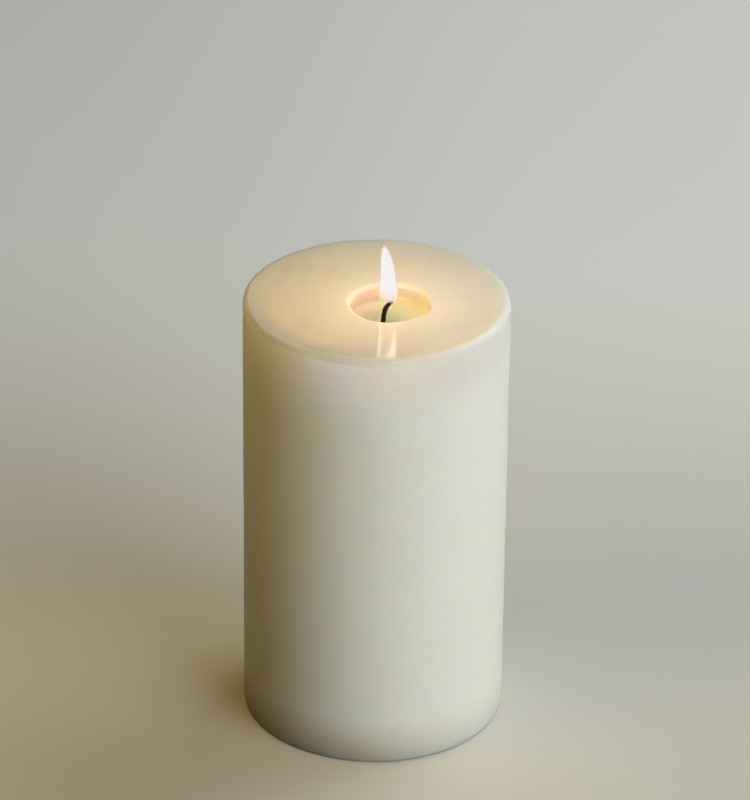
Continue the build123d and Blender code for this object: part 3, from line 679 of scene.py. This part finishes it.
@dataclass(frozen=True)
class CellSleeve(Finish):
    """Shrunk PET sleeve on a dry cell, with the steel can bare at both ends."""

    sleeve_end: float = 0.0
    band: float = 7.0
    band_color: str = "#B9B7AE"
    steel_color: str = "#CFCDC6"

    def detail(self, nodes: Nodes) -> None:
        """Adds bare steel past the sleeve, and one pale band next to each end."""
        outwards = nodes.math("ABSOLUTE", nodes.axes[0])
        bare = nodes.math("GREATER_THAN", outwards, self.sleeve_end)
        banded = nodes.math("GREATER_THAN", outwards, self.sleeve_end - self.band * MM)
        sleeve = nodes.blend(banded, self.color, self.band_color)
        scuffs = nodes.noise(2.5, 4.0)
        nodes.feed({
            "Base Color": nodes.blend(bare, sleeve, self.steel_color), "Metallic": bare,
            "Roughness": nodes.between(scuffs, self.roughness - 0.1, self.roughness + 0.12)})


@dataclass(frozen=True)
class CellFoam(Finish):
    """Closed-cell EVA foam, cut from a sheet, so that opened cells pit its face."""

    cell: float = 0.7
    pit_shade_color: str = "#0B0B0C"

    def detail(self, nodes: Nodes) -> None:
        """Adds the opened cells to relief, and to colour as painted shade."""
        cells = add_node(nodes.tree, "TexVoronoi", {
            "Vector": nodes.place, "Scale": 1 / (self.cell * MM)}, feature="F1")
        pit = nodes.fade(cells.outputs["Distance"], 0.1, 0.6, soft=False)
        # painted shade: the opened cells are darker
        nodes.feed({"Base Color": nodes.blend(pit, self.pit_shade_color, self.color),
                    "Normal": nodes.bump(pit, 0.9, 0.25)})


@dataclass(frozen=True)
class FlameGlow:
    """Frosted lens lit from inside, seen as light alone, which thins out towards its foot."""

    name: str
    color: str
    strength: float
    cover: float
    fade_low: float
    fade_high: float

    def material(self) -> bpy.types.Material:
        """Builds the material.

        Returns:
            A material that glows above fade_high and is clear below fade_low.
        """
        material = bpy.data.materials.new(self.name)
        nodes = Nodes(material)
        rise = nodes.fade(nodes.axes[2], self.fade_low, self.fade_high, high=self.cover)
        glow = nodes.add("Emission", {"Color": linear(self.color),
                                      "Strength": self.strength})
        nodes.show(nodes.add("MixShader", {0: rise, 1: nodes.add("BsdfTransparent"),
                                           2: glow}))
        return material


# ------------------------------------------------------------------ wax pillar
@dataclass
class WaxPillar:
    """Wax pillar: a hollow shell with a nicked rim, and the melt pool in its top."""

    segments: int = 288
    rim_round: float = 1.5 * MM
    foot_round: float = 1.2 * MM
    brim_round: float = 1.6 * MM
    brim: float = 12.6 * MM
    brim_shift: float = 0.7 * MM
    wall_foot: float = 1.8 * MM
    wall_r: float = 9.38 * MM
    wall_rise: float = 1.26 * MM
    dish_start: float = 2.6 * MM
    dish_edge: float = 9.9 * MM
    dish_curve: float = 30.4 * MM
    dish_depth: float = 2.1 * MM
    slot_foot: float = 124.1 * MM
    slot_half: tuple[float, float] = (1.2 * MM, 0.9 * MM)
    slot_flare: float = 0.25 * MM
    slot_blend: float = 6.0 * MM
    base_bore: float = 34.6 * MM

    # the hollow upwards, then the seat of the head: radius and height in millimetres; the
    # seat is centred on the pool along X, and along Y only where its radius is under narrow_r
    bore: tuple[tuple[float, float], ...] = (
        (34.6, 2.8), (32.0, 2.8), (32.0, 60.0), (32.0, 115.0))
    seat: tuple[tuple[float, float], ...] = (
        (17.0, 115.0), (17.0, 121.3), (7.0, 121.3), (6.2, 124.1), (3.0, 124.1))
    narrow_r: float = 10.0

    # wear in millimetres: each depth, with the size of its features
    dent: tuple[float, float] = (0.14, 24.0)
    fine_dent: tuple[float, float] = (0.04, 5.0)
    chip: tuple[float, float] = (0.8, 2.5)
    chip_reach: float = 2.2
    brim_wander: float = 0.45
    brim_reach: float = 15.0
    sag: tuple[float, float] = (0.1, 11.0)
    fine_sag: tuple[float, float] = (0.035, 4.0)
    sag_reach: float = 3.0

    low: Vector = field(default_factory=lambda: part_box("wax_shell")[0])
    high: Vector = field(default_factory=lambda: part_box("wax_shell")[1])
    melt_x: float = field(default_factory=lambda: centre_of("pool_insert").x)
    melt_y: float = field(default_factory=lambda: centre_of("flame_lens").y)
    pool_z: float = field(default_factory=lambda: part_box("pool_insert")[1].z)

    def dish(self, r: float) -> float:
        """Height of the pool's floor at a distance from its middle."""
        return (self.pool_z - self.dish_depth + self.dish_curve
                - math.sqrt(self.dish_curve ** 2 - r ** 2))

    def pool(self) -> list[Ring]:
        """Profile from the wick's slot over the pool's floor, wall and brim.

        Returns:
            The rings, whose centres move from the slot to the axis of the pool.
        """
        slot_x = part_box("wick")[0].x + 0.7 * MM
        half_x, half_y = self.slot_half
        rings = [Ring(z, half_x, half_y, slot_x, self.melt_y)
                 for z in (self.slot_foot, self.dish(0.0) - self.slot_flare)]
        rings.append(Ring(self.dish(0.0) + 0.02 * MM, half_x + self.slot_flare,
                          half_y + self.slot_flare, slot_x, self.melt_y))
        steps = 14
        for step in range(1, steps + 1):
            r = self.dish_start + (self.dish_edge - self.dish_start) * step / steps
            centre = slot_x + (self.melt_x - slot_x) * min(1.0, r / self.slot_blend)
            rings.append(Ring(self.dish(r), r, r, centre, self.melt_y))
        wall = arc(self.wall_r, self.pool_z + self.wall_rise, self.wall_foot, -64, 0, 8)
        brim = arc(self.brim, self.high.z - self.brim_round, self.brim_round, 180, 90, 10)
        rings += [Ring(z, r, r, self.melt_x, self.melt_y) for r, z in wall]
        rings += [Ring(z, r, r, self.melt_x, self.melt_y + self.brim_shift)
                  for r, z in brim]
        return rings

    def rings(self) -> list[Ring]:
        """Profile of the shell from the wick's slot over the pool and the rim, and back.

        Returns:
            The rings, whose centres run from the melt pool's axis to the candle's.
        """
        radius, top = self.high.x, self.high.z
        profile = self.pool()
        brim_y = self.melt_y + self.brim_shift
        flat_end = radius - self.rim_round
        steps = 28
        for step in range(1, steps):
            share = step / steps
            r = self.brim + (flat_end - self.brim) * share
            profile.append(Ring(top, r, r, self.melt_x * (1 - share), brim_y * (1 - share)))
        side_top, side_foot = top - self.rim_round, self.low.z + self.foot_round
        rim = arc(flat_end, side_top, self.rim_round, 90, 0, 8)
        near = [(radius, side_top - 0.6 * MM * step) for step in range(1, 9)]
        steps = 92
        start = near[-1][1]
        side = near + [(radius, start + (side_foot - start) * step / steps)
                       for step in range(1, steps)]
        heel = arc(radius - self.foot_round, side_foot, self.foot_round, 0, -90, 5)
        bore = [(self.base_bore, self.low.z)] + [(r * MM, z * MM) for r, z in self.bore]
        profile += [Ring(z, r, r) for r, z in rim + side + heel + bore]
        profile += [Ring(z * MM, r * MM, r * MM, self.melt_x,
                         self.melt_y if r < self.narrow_r else 0.0) for r, z in self.seat]
        return profile

    def wear(self, bm: bmesh.types.BMesh) -> None:
        """Moves the outer skin inwards by soft dents and rim nicks, and ripples the top.

        Args:
            bm: the shell, whose points are moved.
        """
        top = self.high.z
        middle = Vector((self.melt_x, self.melt_y, 0))
        for vert in bm.verts:
            co = vert.co
            around = Vector((co.x, co.y, 0)).normalized()
            if math.hypot(co.x, co.y) > 35 * MM and co.z > 0.5 * MM:
                soft = 0.5 + 0.5 * noise.noise(co / (self.dent[1] * MM))
                fine = 0.5 + 0.5 * noise.noise(co / (self.fine_dent[1] * MM)
                                               + Vector((9, 2, 5)))
                dent = self.dent[0] * soft + self.fine_dent[0] * fine
                near_rim = max(0.0, 1 - abs(co.z - (top - 0.5 * MM))
                               / (self.chip_reach * MM))
                chip = noise.noise(around * 9 + Vector((3, 7, co.z / (self.chip[1] * MM))))
                chips = max(0.0, chip - 0.1) * self.chip[0] * near_rim
                vert.co -= around * (dent + chips) * MM
            off_pool = Vector((co.x, co.y, 0)) - middle
            if (co.z > self.pool_z + 0.5 * MM
                    and off_pool.length < self.brim_reach * MM):
                # the brim melted unevenly, a little wider at the sides
                uneven = noise.noise(off_pool.normalized() * 1.3 + Vector((2, 5, 1)))
                rise = min(1.0, (co.z - self.pool_z) / (top - self.pool_z))
                vert.co += off_pool.normalized() * (self.brim_wander * uneven * rise) * MM
            if co.z > top - self.sag_reach * MM:
                level = max(0.0, 1 - (top - co.z) / (self.sag_reach * MM))
                swell = 0.5 + 0.5 * noise.noise(co / (self.sag[1] * MM) + Vector((4, 4, 4)))
                ripple = 0.5 + 0.5 * noise.noise(co / (self.fine_sag[1] * MM))
                sag = self.sag[0] * swell + self.fine_sag[0] * ripple
                vert.co.z -= sag * level * MM

    def build(self) -> bpy.types.Object:
        """Builds the pillar and gives it its wax.

        Returns:
            The finished piece, which stands for the CAD's shell and pool insert.
        """
        bm = loft_rings(self.rings(), self.segments, closed=True)
        self.wear(bm)
        bmesh.ops.recalc_face_normals(bm, faces=bm.faces)
        piece = mesh_object("pillar_wax", bm)
        wax = CastWax("cast_paraffin_wax", "#F1EBDF", 0.4, 1.44, melt_x=self.melt_x,
                      melt_y=self.melt_y, pool_z=self.pool_z, top_z=self.high.z)
        piece.data.materials.append(wax.material())
        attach(piece, "candle")
        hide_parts("wax_shell", "pool_insert")
        return piece


# ------------------------------------------------------------------ flame and wick
@dataclass
class SwayingFlame:
    """Flame-shaped lens as a clear outer skin and a bright core, on its charred wick."""

    segments: int = 48
    depth: float = 0.9
    core_inset: float = 0.32
    core_lift: float = 0.4
    tip_start: float = 17.0
    glow_foot: float = -0.3 * MM
    skin_full: float = 5.2 * MM
    core_full: float = 6.6 * MM
    wick_radius: float = 0.66 * MM
    # depth and size of the wick's lumps in millimetres, and how much it thins for each
    # millimetre above fray_z
    lump: tuple[float, float] = (0.14, 0.9)
    fray: float = 0.25
    fray_z: float = 131.2 * MM
    top: float = field(default_factory=lambda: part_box("wax_shell")[1].z)
    sway_y: float = field(default_factory=lambda: centre_of("flame_lens").y)

    # height above the pillar's top, centre along X and half width, in millimetres
    outline: tuple[tuple[float, float, float], ...] = (
        (0.5, 3.36, 2.4), (1.4, 3.33, 2.66), (2.6, 3.28, 2.7), (4.1, 3.2, 2.64),
        (5.5, 3.15, 2.52), (7.0, 3.08, 2.4), (8.5, 3.02, 2.28), (10.0, 2.93, 2.15),
        (11.4, 2.82, 2.03), (12.6, 2.7, 1.9), (13.6, 2.58, 1.76), (14.6, 2.45, 1.58),
        (15.4, 2.33, 1.4), (16.2, 2.21, 1.17), (16.9, 2.1, 0.92), (17.5, 2.01, 0.66),
        (18.0, 1.94, 0.38), (18.3, 1.9, 0.15))

    # the wick's line above its foot: shift along X and height, in millimetres
    wick_line: tuple[tuple[float, float], ...] = (
        (0.0, 123.6), (-0.2, 125.4), (-0.1, 126.8), (0.08, 128.2), (0.34, 129.5),
        (0.8, 130.5), (1.5, 131.3), (2.3, 132.2))

    def shell(self, name: str, inset: float = 0.0, lift: float = 0.0) -> bpy.types.Object:
        """One closed skin of the lens.

        Args:
            name: the piece's name.
            inset: how far inside the lens's outline it lies, in millimetres.
            lift: lowest height of the outline that is kept, in millimetres.

        Returns:
            The skin as a mesh object.
        """
        rings = []
        for height, x, half in self.outline:
            if height < lift:
                continue
            width = max(half - inset, 0.04) * MM
            height -= inset if height > self.tip_start else 0
            rings.append(Ring(self.top + height * MM, width, width * self.depth, x * MM,
                              self.sway_y))
        return mesh_object(name, loft_rings(rings, self.segments))

    def wick(self) -> bpy.types.Object:
        """Wick that rises from the pool and bends to the right under the flame.

        Returns:
            A lumpy tube with a frayed, slanted end.
        """
        low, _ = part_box("wick")
        start_x = low.x + 0.7 * MM
        route = [(start_x, low.z)] + [(start_x + x * MM, z * MM) for x, z in self.wick_line]
        curve = bpy.data.curves.new("wick_line", "CURVE")
        curve.dimensions = "3D"
        line = curve.splines.new("NURBS")
        line.points.add(len(route) - 1)
        for point, (x, z) in zip(line.points, route):
            point.co = (x, self.sway_y, z, 1)
        line.order_u = 3
        line.use_endpoint_u = True
        line.resolution_u = 8
        curve.bevel_depth = self.wick_radius
        curve.bevel_resolution = 6
        curve.use_fill_caps = True
        bm = curve_bmesh(curve, 0.01 * MM)
        bmesh.ops.recalc_face_normals(bm, faces=bm.faces)
        bm.normal_update()
        for vert in bm.verts:
            lump = noise.noise(vert.co / (self.lump[1] * MM)) * self.lump[0]
            fray = max(0.0, (vert.co.z - self.fray_z) / MM) * self.fray
            vert.co += vert.normal * (lump - fray) * MM
        return mesh_object("charred_wick", bm)

    def build(self) -> list[bpy.types.Object]:
        """Builds the lens and the wick and sets them on the swaying body.

        Returns:
            The pieces.
        """
        skin = self.shell("flame_skin")
        core = self.shell("flame_core", self.core_inset, self.core_lift)
        wick = self.wick()
        foot = self.top + self.glow_foot
        for piece, finish in (
                (skin, FlameGlow("frosted_lens_skin", "#FFEEDA", 1.0, 0.3, foot,
                                 self.top + self.skin_full)),
                (core, FlameGlow("lit_lens_core", "#F3F3FB", 1.0, 1.0, foot,
                                 self.top + self.core_full)),
                (wick, CharredSleeve("charred_wick_sleeve", "#120B07", 0.85, 1.45))):
            piece.data.materials.append(finish.material())
            piece.visible_shadow = piece is wick
            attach(piece, "flame")
        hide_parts("flame_lens")
        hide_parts("wick")
        return [skin, core, wick]


# ------------------------------------------------------------------ finishes of CAD nodes
@dataclass
class Works:
    """Everything inside the wax and under it, whose shapes come from the CAD frame."""

    bare_end: float = 0.7 * MM

    def dress(self, finish: Finish | FlameGlow, *nodes: str) -> None:
        """Gives CAD nodes a finish in place of the one they were packed with.

        Args:
            finish: what they are made of.
            nodes: names of the nodes.
        """
        material = finish.material()
        for node in nodes:
            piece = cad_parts[node]
            piece.data.materials.clear()
            piece.data.materials.append(material)

    def build(self) -> None:
        """Dresses the nodes by what they are made of."""
        sleeve_end = -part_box("battery_a")[0].x - self.bare_end
        for finish, nodes in (
                (FlameGlow("lit_led_epoxy", "#FFE9C6", 1.0, 0.25, 0.0, 0.001),
                 ("flame_led",)),
                (MouldedPlastic("white_abs", "#E4E2DB", 0.42, 1.54),
                 ("flame_carrier", "pivot_spacers", "head_cup", "light_tower",
                  "battery_case", "board_header", "lead_plug")),
                (MouldedPlastic("ivory_abs", "#E9E3D2", 0.45, 1.54),
                 ("base_cover", "battery_door")),
                (MouldedPlastic("black_abs", "#17181A", 0.4, 1.54),
                 ("coil_bobbin", "board_chip", "switch_body", "switch_knob",
                  "board_parts")),
                (RolledMetal("nickel_plated_steel", "#C9C8C2", 0.28, metallic=1.0),
                 ("board_screws", "tower_screws", "base_screws", "door_pin", "magnet")),
                (RolledMetal("spring_steel_wire", "#B4B2AC", 0.32, metallic=1.0),
                 ("pivot_wire", "negative_spring", "bridge_spring")),
                (RolledMetal("tinned_steel", "#C4C3BC", 0.36, metallic=1.0,
                             lines=(1.0, 0.06, 1.0)),
                 ("positive_plate", "negative_plate", "bridge_plate",
                  "switch_terminals")),
                (CopperWinding("enamelled_copper_wire", "#B4622E", 0.3, metallic=1.0),
                 ("drive_coil", "flame_leads")),
                (SolderMask("solder_mask", "#17603A", 0.3, 1.55), ("control_board",)),
                (CellSleeve("shrunk_pet_sleeve", "#23364A", 0.35, 1.57,
                            sleeve_end=sleeve_end), ("battery_a", "battery_b")),
                (SoftPvc("red_pvc", "#B0201C", 0.4, 1.53), ("red_lead", "switch_lead")),
                (SoftPvc("black_pvc", "#161616", 0.4, 1.53),
                 ("black_lead", "board_capacitor"))):
            self.dress(finish, *nodes)


# ------------------------------------------------------------------ underside
@dataclass
class Underside:
    """Foam pad on the battery door, and the raised marks beside the switch."""

    mark_height: float = 0.15 * MM
    letter: float = 3.0 * MM
    pad_inset: Vector = field(default_factory=lambda: Vector((0.4, 0.4, 0.1)) * MM)
    pad_round: float = 0.45 * MM
    pad_crown: float = 0.25 * MM

    def pad(self) -> bpy.types.Object:
        """Builds the foam pad that holds the cells down.

        Returns:
            A crowned slab with soft edges.
        """
        low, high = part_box("door_pad")
        size = high - low
        bm = bmesh.new()
        bmesh.ops.create_cube(bm, size=1.0)
        bmesh.ops.scale(bm, vec=size - self.pad_inset, verts=bm.verts)
        bmesh.ops.bevel(bm, geom=bm.edges[:], offset=self.pad_round, offset_type="OFFSET",
                        segments=3, profile=0.5, affect="EDGES", material=-1)
        top = [face for face in bm.faces if face.normal.z > 0.9]
        around = {edge for face in top for edge in face.edges}
        bmesh.ops.subdivide_edges(bm, edges=list(around), cuts=9, use_grid_fill=True)
        for vert in bm.verts:
            inside = math.prod(max(0.0, 1 - (2 * at / full) ** 2)
                               for at, full in zip(vert.co.xy, size.xy))
            if vert.co.z > size.z * 0.3:
                vert.co.z -= self.pad_crown * (1 - inside ** 0.5)
        bmesh.ops.translate(bm, vec=(low + high) / 2, verts=bm.verts)
        bmesh.ops.recalc_face_normals(bm, faces=bm.faces)
        piece = mesh_object("door_foam_pad", bm)
        piece.data.materials.append(CellFoam("eva_foam", "#242426", 0.85, 1.45).material())
        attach(piece, "door")
        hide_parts("door_pad")
        return piece

    def mark(self, name: str, words: str, x: float, y: float) -> bpy.types.Object:
        """Raises a word on the base cover, to be read from below.

        Args:
            name: the piece's name.
            words: what it says.
            x: centre of the word along X.
            y: centre of the word along Y.

        Returns:
            The word as a closed mesh that stands on the cover's face.
        """
        curve = bpy.data.curves.new(name, "FONT")
        curve.body = words
        curve.size = self.letter
        curve.align_x = "CENTER"
        curve.align_y = "CENTER"
        curve.extrude = self.mark_height
        curve.resolution_u = 4
        bm = curve_bmesh(curve, 0.002 * MM)
        face_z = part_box("base_cover")[0].z
        bmesh.ops.rotate(bm, cent=(0, 0, 0), matrix=Matrix.Rotation(math.pi, 3, "X"),
                         verts=bm.verts)
        bmesh.ops.translate(bm, vec=(x, y, face_z), verts=bm.verts)
        bmesh.ops.recalc_face_normals(bm, faces=bm.faces)
        piece = mesh_object(name, bm, smooth=False)
        piece.data.materials.append(
            MouldedPlastic("raised_abs_mark", "#DDD5BF", 0.5, 1.54).material())
        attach(piece, "candle")
        return piece

    def build(self) -> list[bpy.types.Object]:
        """Builds the pad and the two words at the ends of the switch's slot.

        Returns:
            The pieces.
        """
        low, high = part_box("switch_body")
        middle = centre_of("switch_body")
        reach = (high.x - low.x) / 2 + self.letter
        return [self.pad(),
                self.mark("mark_on", "ON", middle.x - reach - self.letter * 0.3, middle.y),
                self.mark("mark_off", "OFF", middle.x + reach + self.letter * 0.6, middle.y)]


# ------------------------------------------------------------------ studio
@dataclass
class Studio:
    """Camera, lamps, world and floor."""

    focal_length: float = 219.45
    distance: float = 1.4087
    elevation: float = 29.813
    pitch: float = 28.64
    yaw: float = -0.011
    roll: float = -0.59
    aim_z: float = 65.76 * MM
    floor_radius: float = 6.0
    floor_color: str = "#EEECE4"
    bounce_painted_shade_left: str = "#1E1B14"
    bounce_painted_light_right: str = "#B2AE9F"
    left_painted_shade: str = "#EFECE6"
    front_painted_shade: str = "#F9F8F5"
    far_color: str = "#E1F0FF"
    far_light: float = 0.23
    room_color: str = "#FFF0DD"
    room_light: float = 0.035
    flame: Vector = field(default_factory=lambda: centre_of("flame_lens"))
    wax_top: float = field(default_factory=lambda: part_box("wax_shell")[1].z)

    def camera(self) -> None:
        """Places a long lens that looks down on the candle from the front."""
        data = bpy.data.cameras.new("camera")
        data.lens = self.focal_length
        data.sensor_width = 36.0
        data.clip_end = 50
        eye = bpy.data.objects.new("camera", data)
        bpy.context.scene.collection.objects.link(eye)
        rise = math.radians(self.elevation)
        place = Vector((0, -self.distance * math.cos(rise),
                        self.aim_z + self.distance * math.sin(rise)))
        turn = (Matrix.Rotation(math.radians(-self.yaw), 4, "Z")
                @ Matrix.Rotation(math.radians(90 - self.pitch), 4, "X")
                @ Matrix.Rotation(math.radians(-self.roll), 4, "Z"))
        eye.matrix_world = Matrix.Translation(place) @ turn
        bpy.context.scene.camera = eye

    def light(self, data: bpy.types.Light, power: float, color: str, place: Vector,
              back: Vector, *hidden: str) -> None:
        """Places a light.

        Args:
            data: the light with its size.
            power: power in watts.
            color: colour as sRGB hex.
            place: where it stands.
            back: the way that its back points.
            hidden: the kinds of ray that do not see it.
        """
        data.energy = power
        data.color = linear(color)[:3]
        holder = bpy.data.objects.new(data.name, data)
        bpy.context.scene.collection.objects.link(holder)
        holder.matrix_world = (Matrix.Translation(place)
                               @ back.to_track_quat("Z", "Y").to_matrix().to_4x4())
        for ray in hidden:
            setattr(holder, "visible_" + ray, False)

    def lamp(self, name: str, azimuth: float, rise: float, size: float, power: float,
             color: str, away_by: float = 1.3, in_gloss: bool = True) -> None:
        """Adds a square soft lamp that faces the middle of the candle.

        Args:
            name: the lamp's name.
            azimuth: degrees from the front (-Y) towards the right (+X).
            rise: degrees above the level of the candle's middle.
            size: side of the lamp in metres.
            power: power in watts.
            color: colour as sRGB hex.
            away_by: distance from the middle of the candle in metres.
            in_gloss: whether reflections show the lamp.
        """
        data = bpy.data.lights.new(name, "AREA")
        data.size = size
        turn, lift = math.radians(azimuth), math.radians(rise)
        away = Vector((math.cos(lift) * math.sin(turn), -math.cos(lift) * math.cos(turn),
                       math.sin(lift)))
        self.light(data, power, color, Vector((0, 0, self.aim_z)) + away * away_by, away,
                   *(() if in_gloss else ("glossy",)))

    def glow(self, name: str, height: float, size: float, power: float) -> None:
        """Adds the flame's light as a soft lamp that reflections do not show.

        Args:
            name: the lamp's name.
            height: its height above the pillar's top in metres.
            size: its radius in metres.
            power: power in watts.
        """
        data = bpy.data.lights.new(name, "POINT")
        data.shadow_soft_size = size
        self.light(data, power, "#FFDEB0",
                   Vector((self.flame.x, self.flame.y, self.wax_top + height)),
                   Vector((0, 0, 1)), "glossy", "camera")

    def mirror_glow(self) -> None:
        """Adds the flame as the glossy top shows it: a lit strip, seen in gloss alone."""
        data = bpy.data.lights.new("flame_mirror", "AREA")
        data.shape = "RECTANGLE"
        data.size = 4.8 * MM
        data.size_y = 18.0 * MM
        self.light(data, 0.00115, "#FFEFE4",
                   Vector((self.flame.x - 0.8 * MM, self.flame.y, self.wax_top + 9.2 * MM)),
                   Vector((0, 1, 0)), "camera", "diffuse", "transmission")

    def world(self) -> None:
        """Dim even light, behind a plain pale backdrop that only the camera and gloss see."""
        world = bpy.data.worlds.new("studio_world")
        bpy.context.scene.world = world
        nodes = Nodes(world)
        room, wall = (nodes.add("Background", {"Color": linear(color), "Strength": strength})
                      for color, strength in ((self.room_color, self.room_light),
                                              (BACKDROP, 1.0)))
        nodes.show(nodes.add("MixShader", {0: nodes.seen, 1: room, 2: wall}), "OutputWorld")

    def cloth(self, nodes: Nodes) -> Socket:
        """Shades the floor, paler to the eye than the light that it throws back, with painted
        shade.

        Args:
            nodes: the floor's nodes.

        Returns:
            The shader of the cloth, with the light on its far part.
        """
        x, y, _ = nodes.axes
        # painted shade and light in what the floor throws back: dark on the left, pale on the
        # right
        bounce = nodes.blend(nodes.fade(x, -30 * MM, 30 * MM, soft=False),
                             self.bounce_painted_shade_left, self.bounce_painted_light_right)
        colour = nodes.blend(nodes.seen, bounce, self.floor_color)
        # painted shade: the floor darkens towards the left and the front
        for along, dark, pale, tint in ((x, -110, 60, self.left_painted_shade),
                                        (y, -60, 10, self.front_painted_shade)):
            shade = nodes.fade(along, dark * MM, pale * MM)
            colour = nodes.tint(colour, nodes.blend(shade, tint, WHITE))
        # the far part of the floor is nearer to the window, which the eye alone sees
        far = nodes.times(nodes.fade(y, -10 * MM, 300 * MM, high=self.far_light), nodes.seen)
        haze = nodes.add("Emission", {"Color": linear(self.far_color), "Strength": far})
        return nodes.add("AddShader", {0: nodes.add("BsdfDiffuse", {"Color": colour}),
                                       1: haze})

    def floor(self) -> None:
        """Adds a wide plain floor, which runs into the backdrop with no horizon."""
        bm = bmesh.new()
        bmesh.ops.create_circle(bm, cap_ends=True, segments=96, radius=self.floor_radius)
        floor = mesh_object("floor", bm, smooth=False)
        material = bpy.data.materials.new("pale_floor")
        nodes = Nodes(material)
        # the fade starts twice as far out along Y as along X, because the main view sees far
        # back over the floor but not far to the sides
        spread = nodes.add("VectorMath", {0: nodes.place, 1: (2, 1, 1)},
                           operation="MULTIPLY")
        from_middle = add_node(nodes.tree, "VectorMath", {0: spread, 1: (0, 250 * MM, 0)},
                               operation="DISTANCE").outputs["Value"]
        beyond = nodes.times(nodes.fade(from_middle, 450 * MM, 900 * MM), nodes.seen)
        nodes.show(nodes.add("MixShader", {
            0: beyond, 1: self.cloth(nodes),
            2: nodes.add("Emission", {"Color": linear(BACKDROP)})}))
        floor.data.materials.append(material)

    def build(self) -> None:
        """Sets the view transform and builds everything but the camera."""
        bpy.context.scene.view_settings.view_transform = "Standard"
        # the top is a mirror from behind, which would show the window as flat white
        self.lamp("window", 47, 6, 1.0, 16.0, "#F5FAFF", in_gloss=False)
        self.lamp("window_behind", 130, 45, 1.0, 6.0, "#FFFCE8")
        self.lamp("card_front", 30, 6, 0.2, 0.17, WHITE, 0.35)
        self.lamp("card_left", -60, 45, 0.2, 0.275, "#FFD872", 0.35)
        self.lamp("card_right", 84, 64, 0.08, 0.04, "#6FB8FF", 0.205)
        self.glow("flame_light", 25 * MM, 6 * MM, 0.0178)
        self.glow("flame_halo", 45 * MM, 10 * MM, 0.009)
        self.mirror_glow()
        self.world()
        self.floor()


def main() -> None:
    """Builds the studio and the candle, and reports each piece."""
    logging.basicConfig(level=logging.INFO, format="%(name)s: %(message)s")
    studio = Studio()
    studio.camera()
    studio.build()
    pieces = [WaxPillar().build(), *SwayingFlame().build(), *Underside().build()]
    Works().build()
    for piece in pieces:
        LOG.info("%s: %d faces", piece.name, len(piece.data.polygons))


if __name__ == "__main__":
    main()
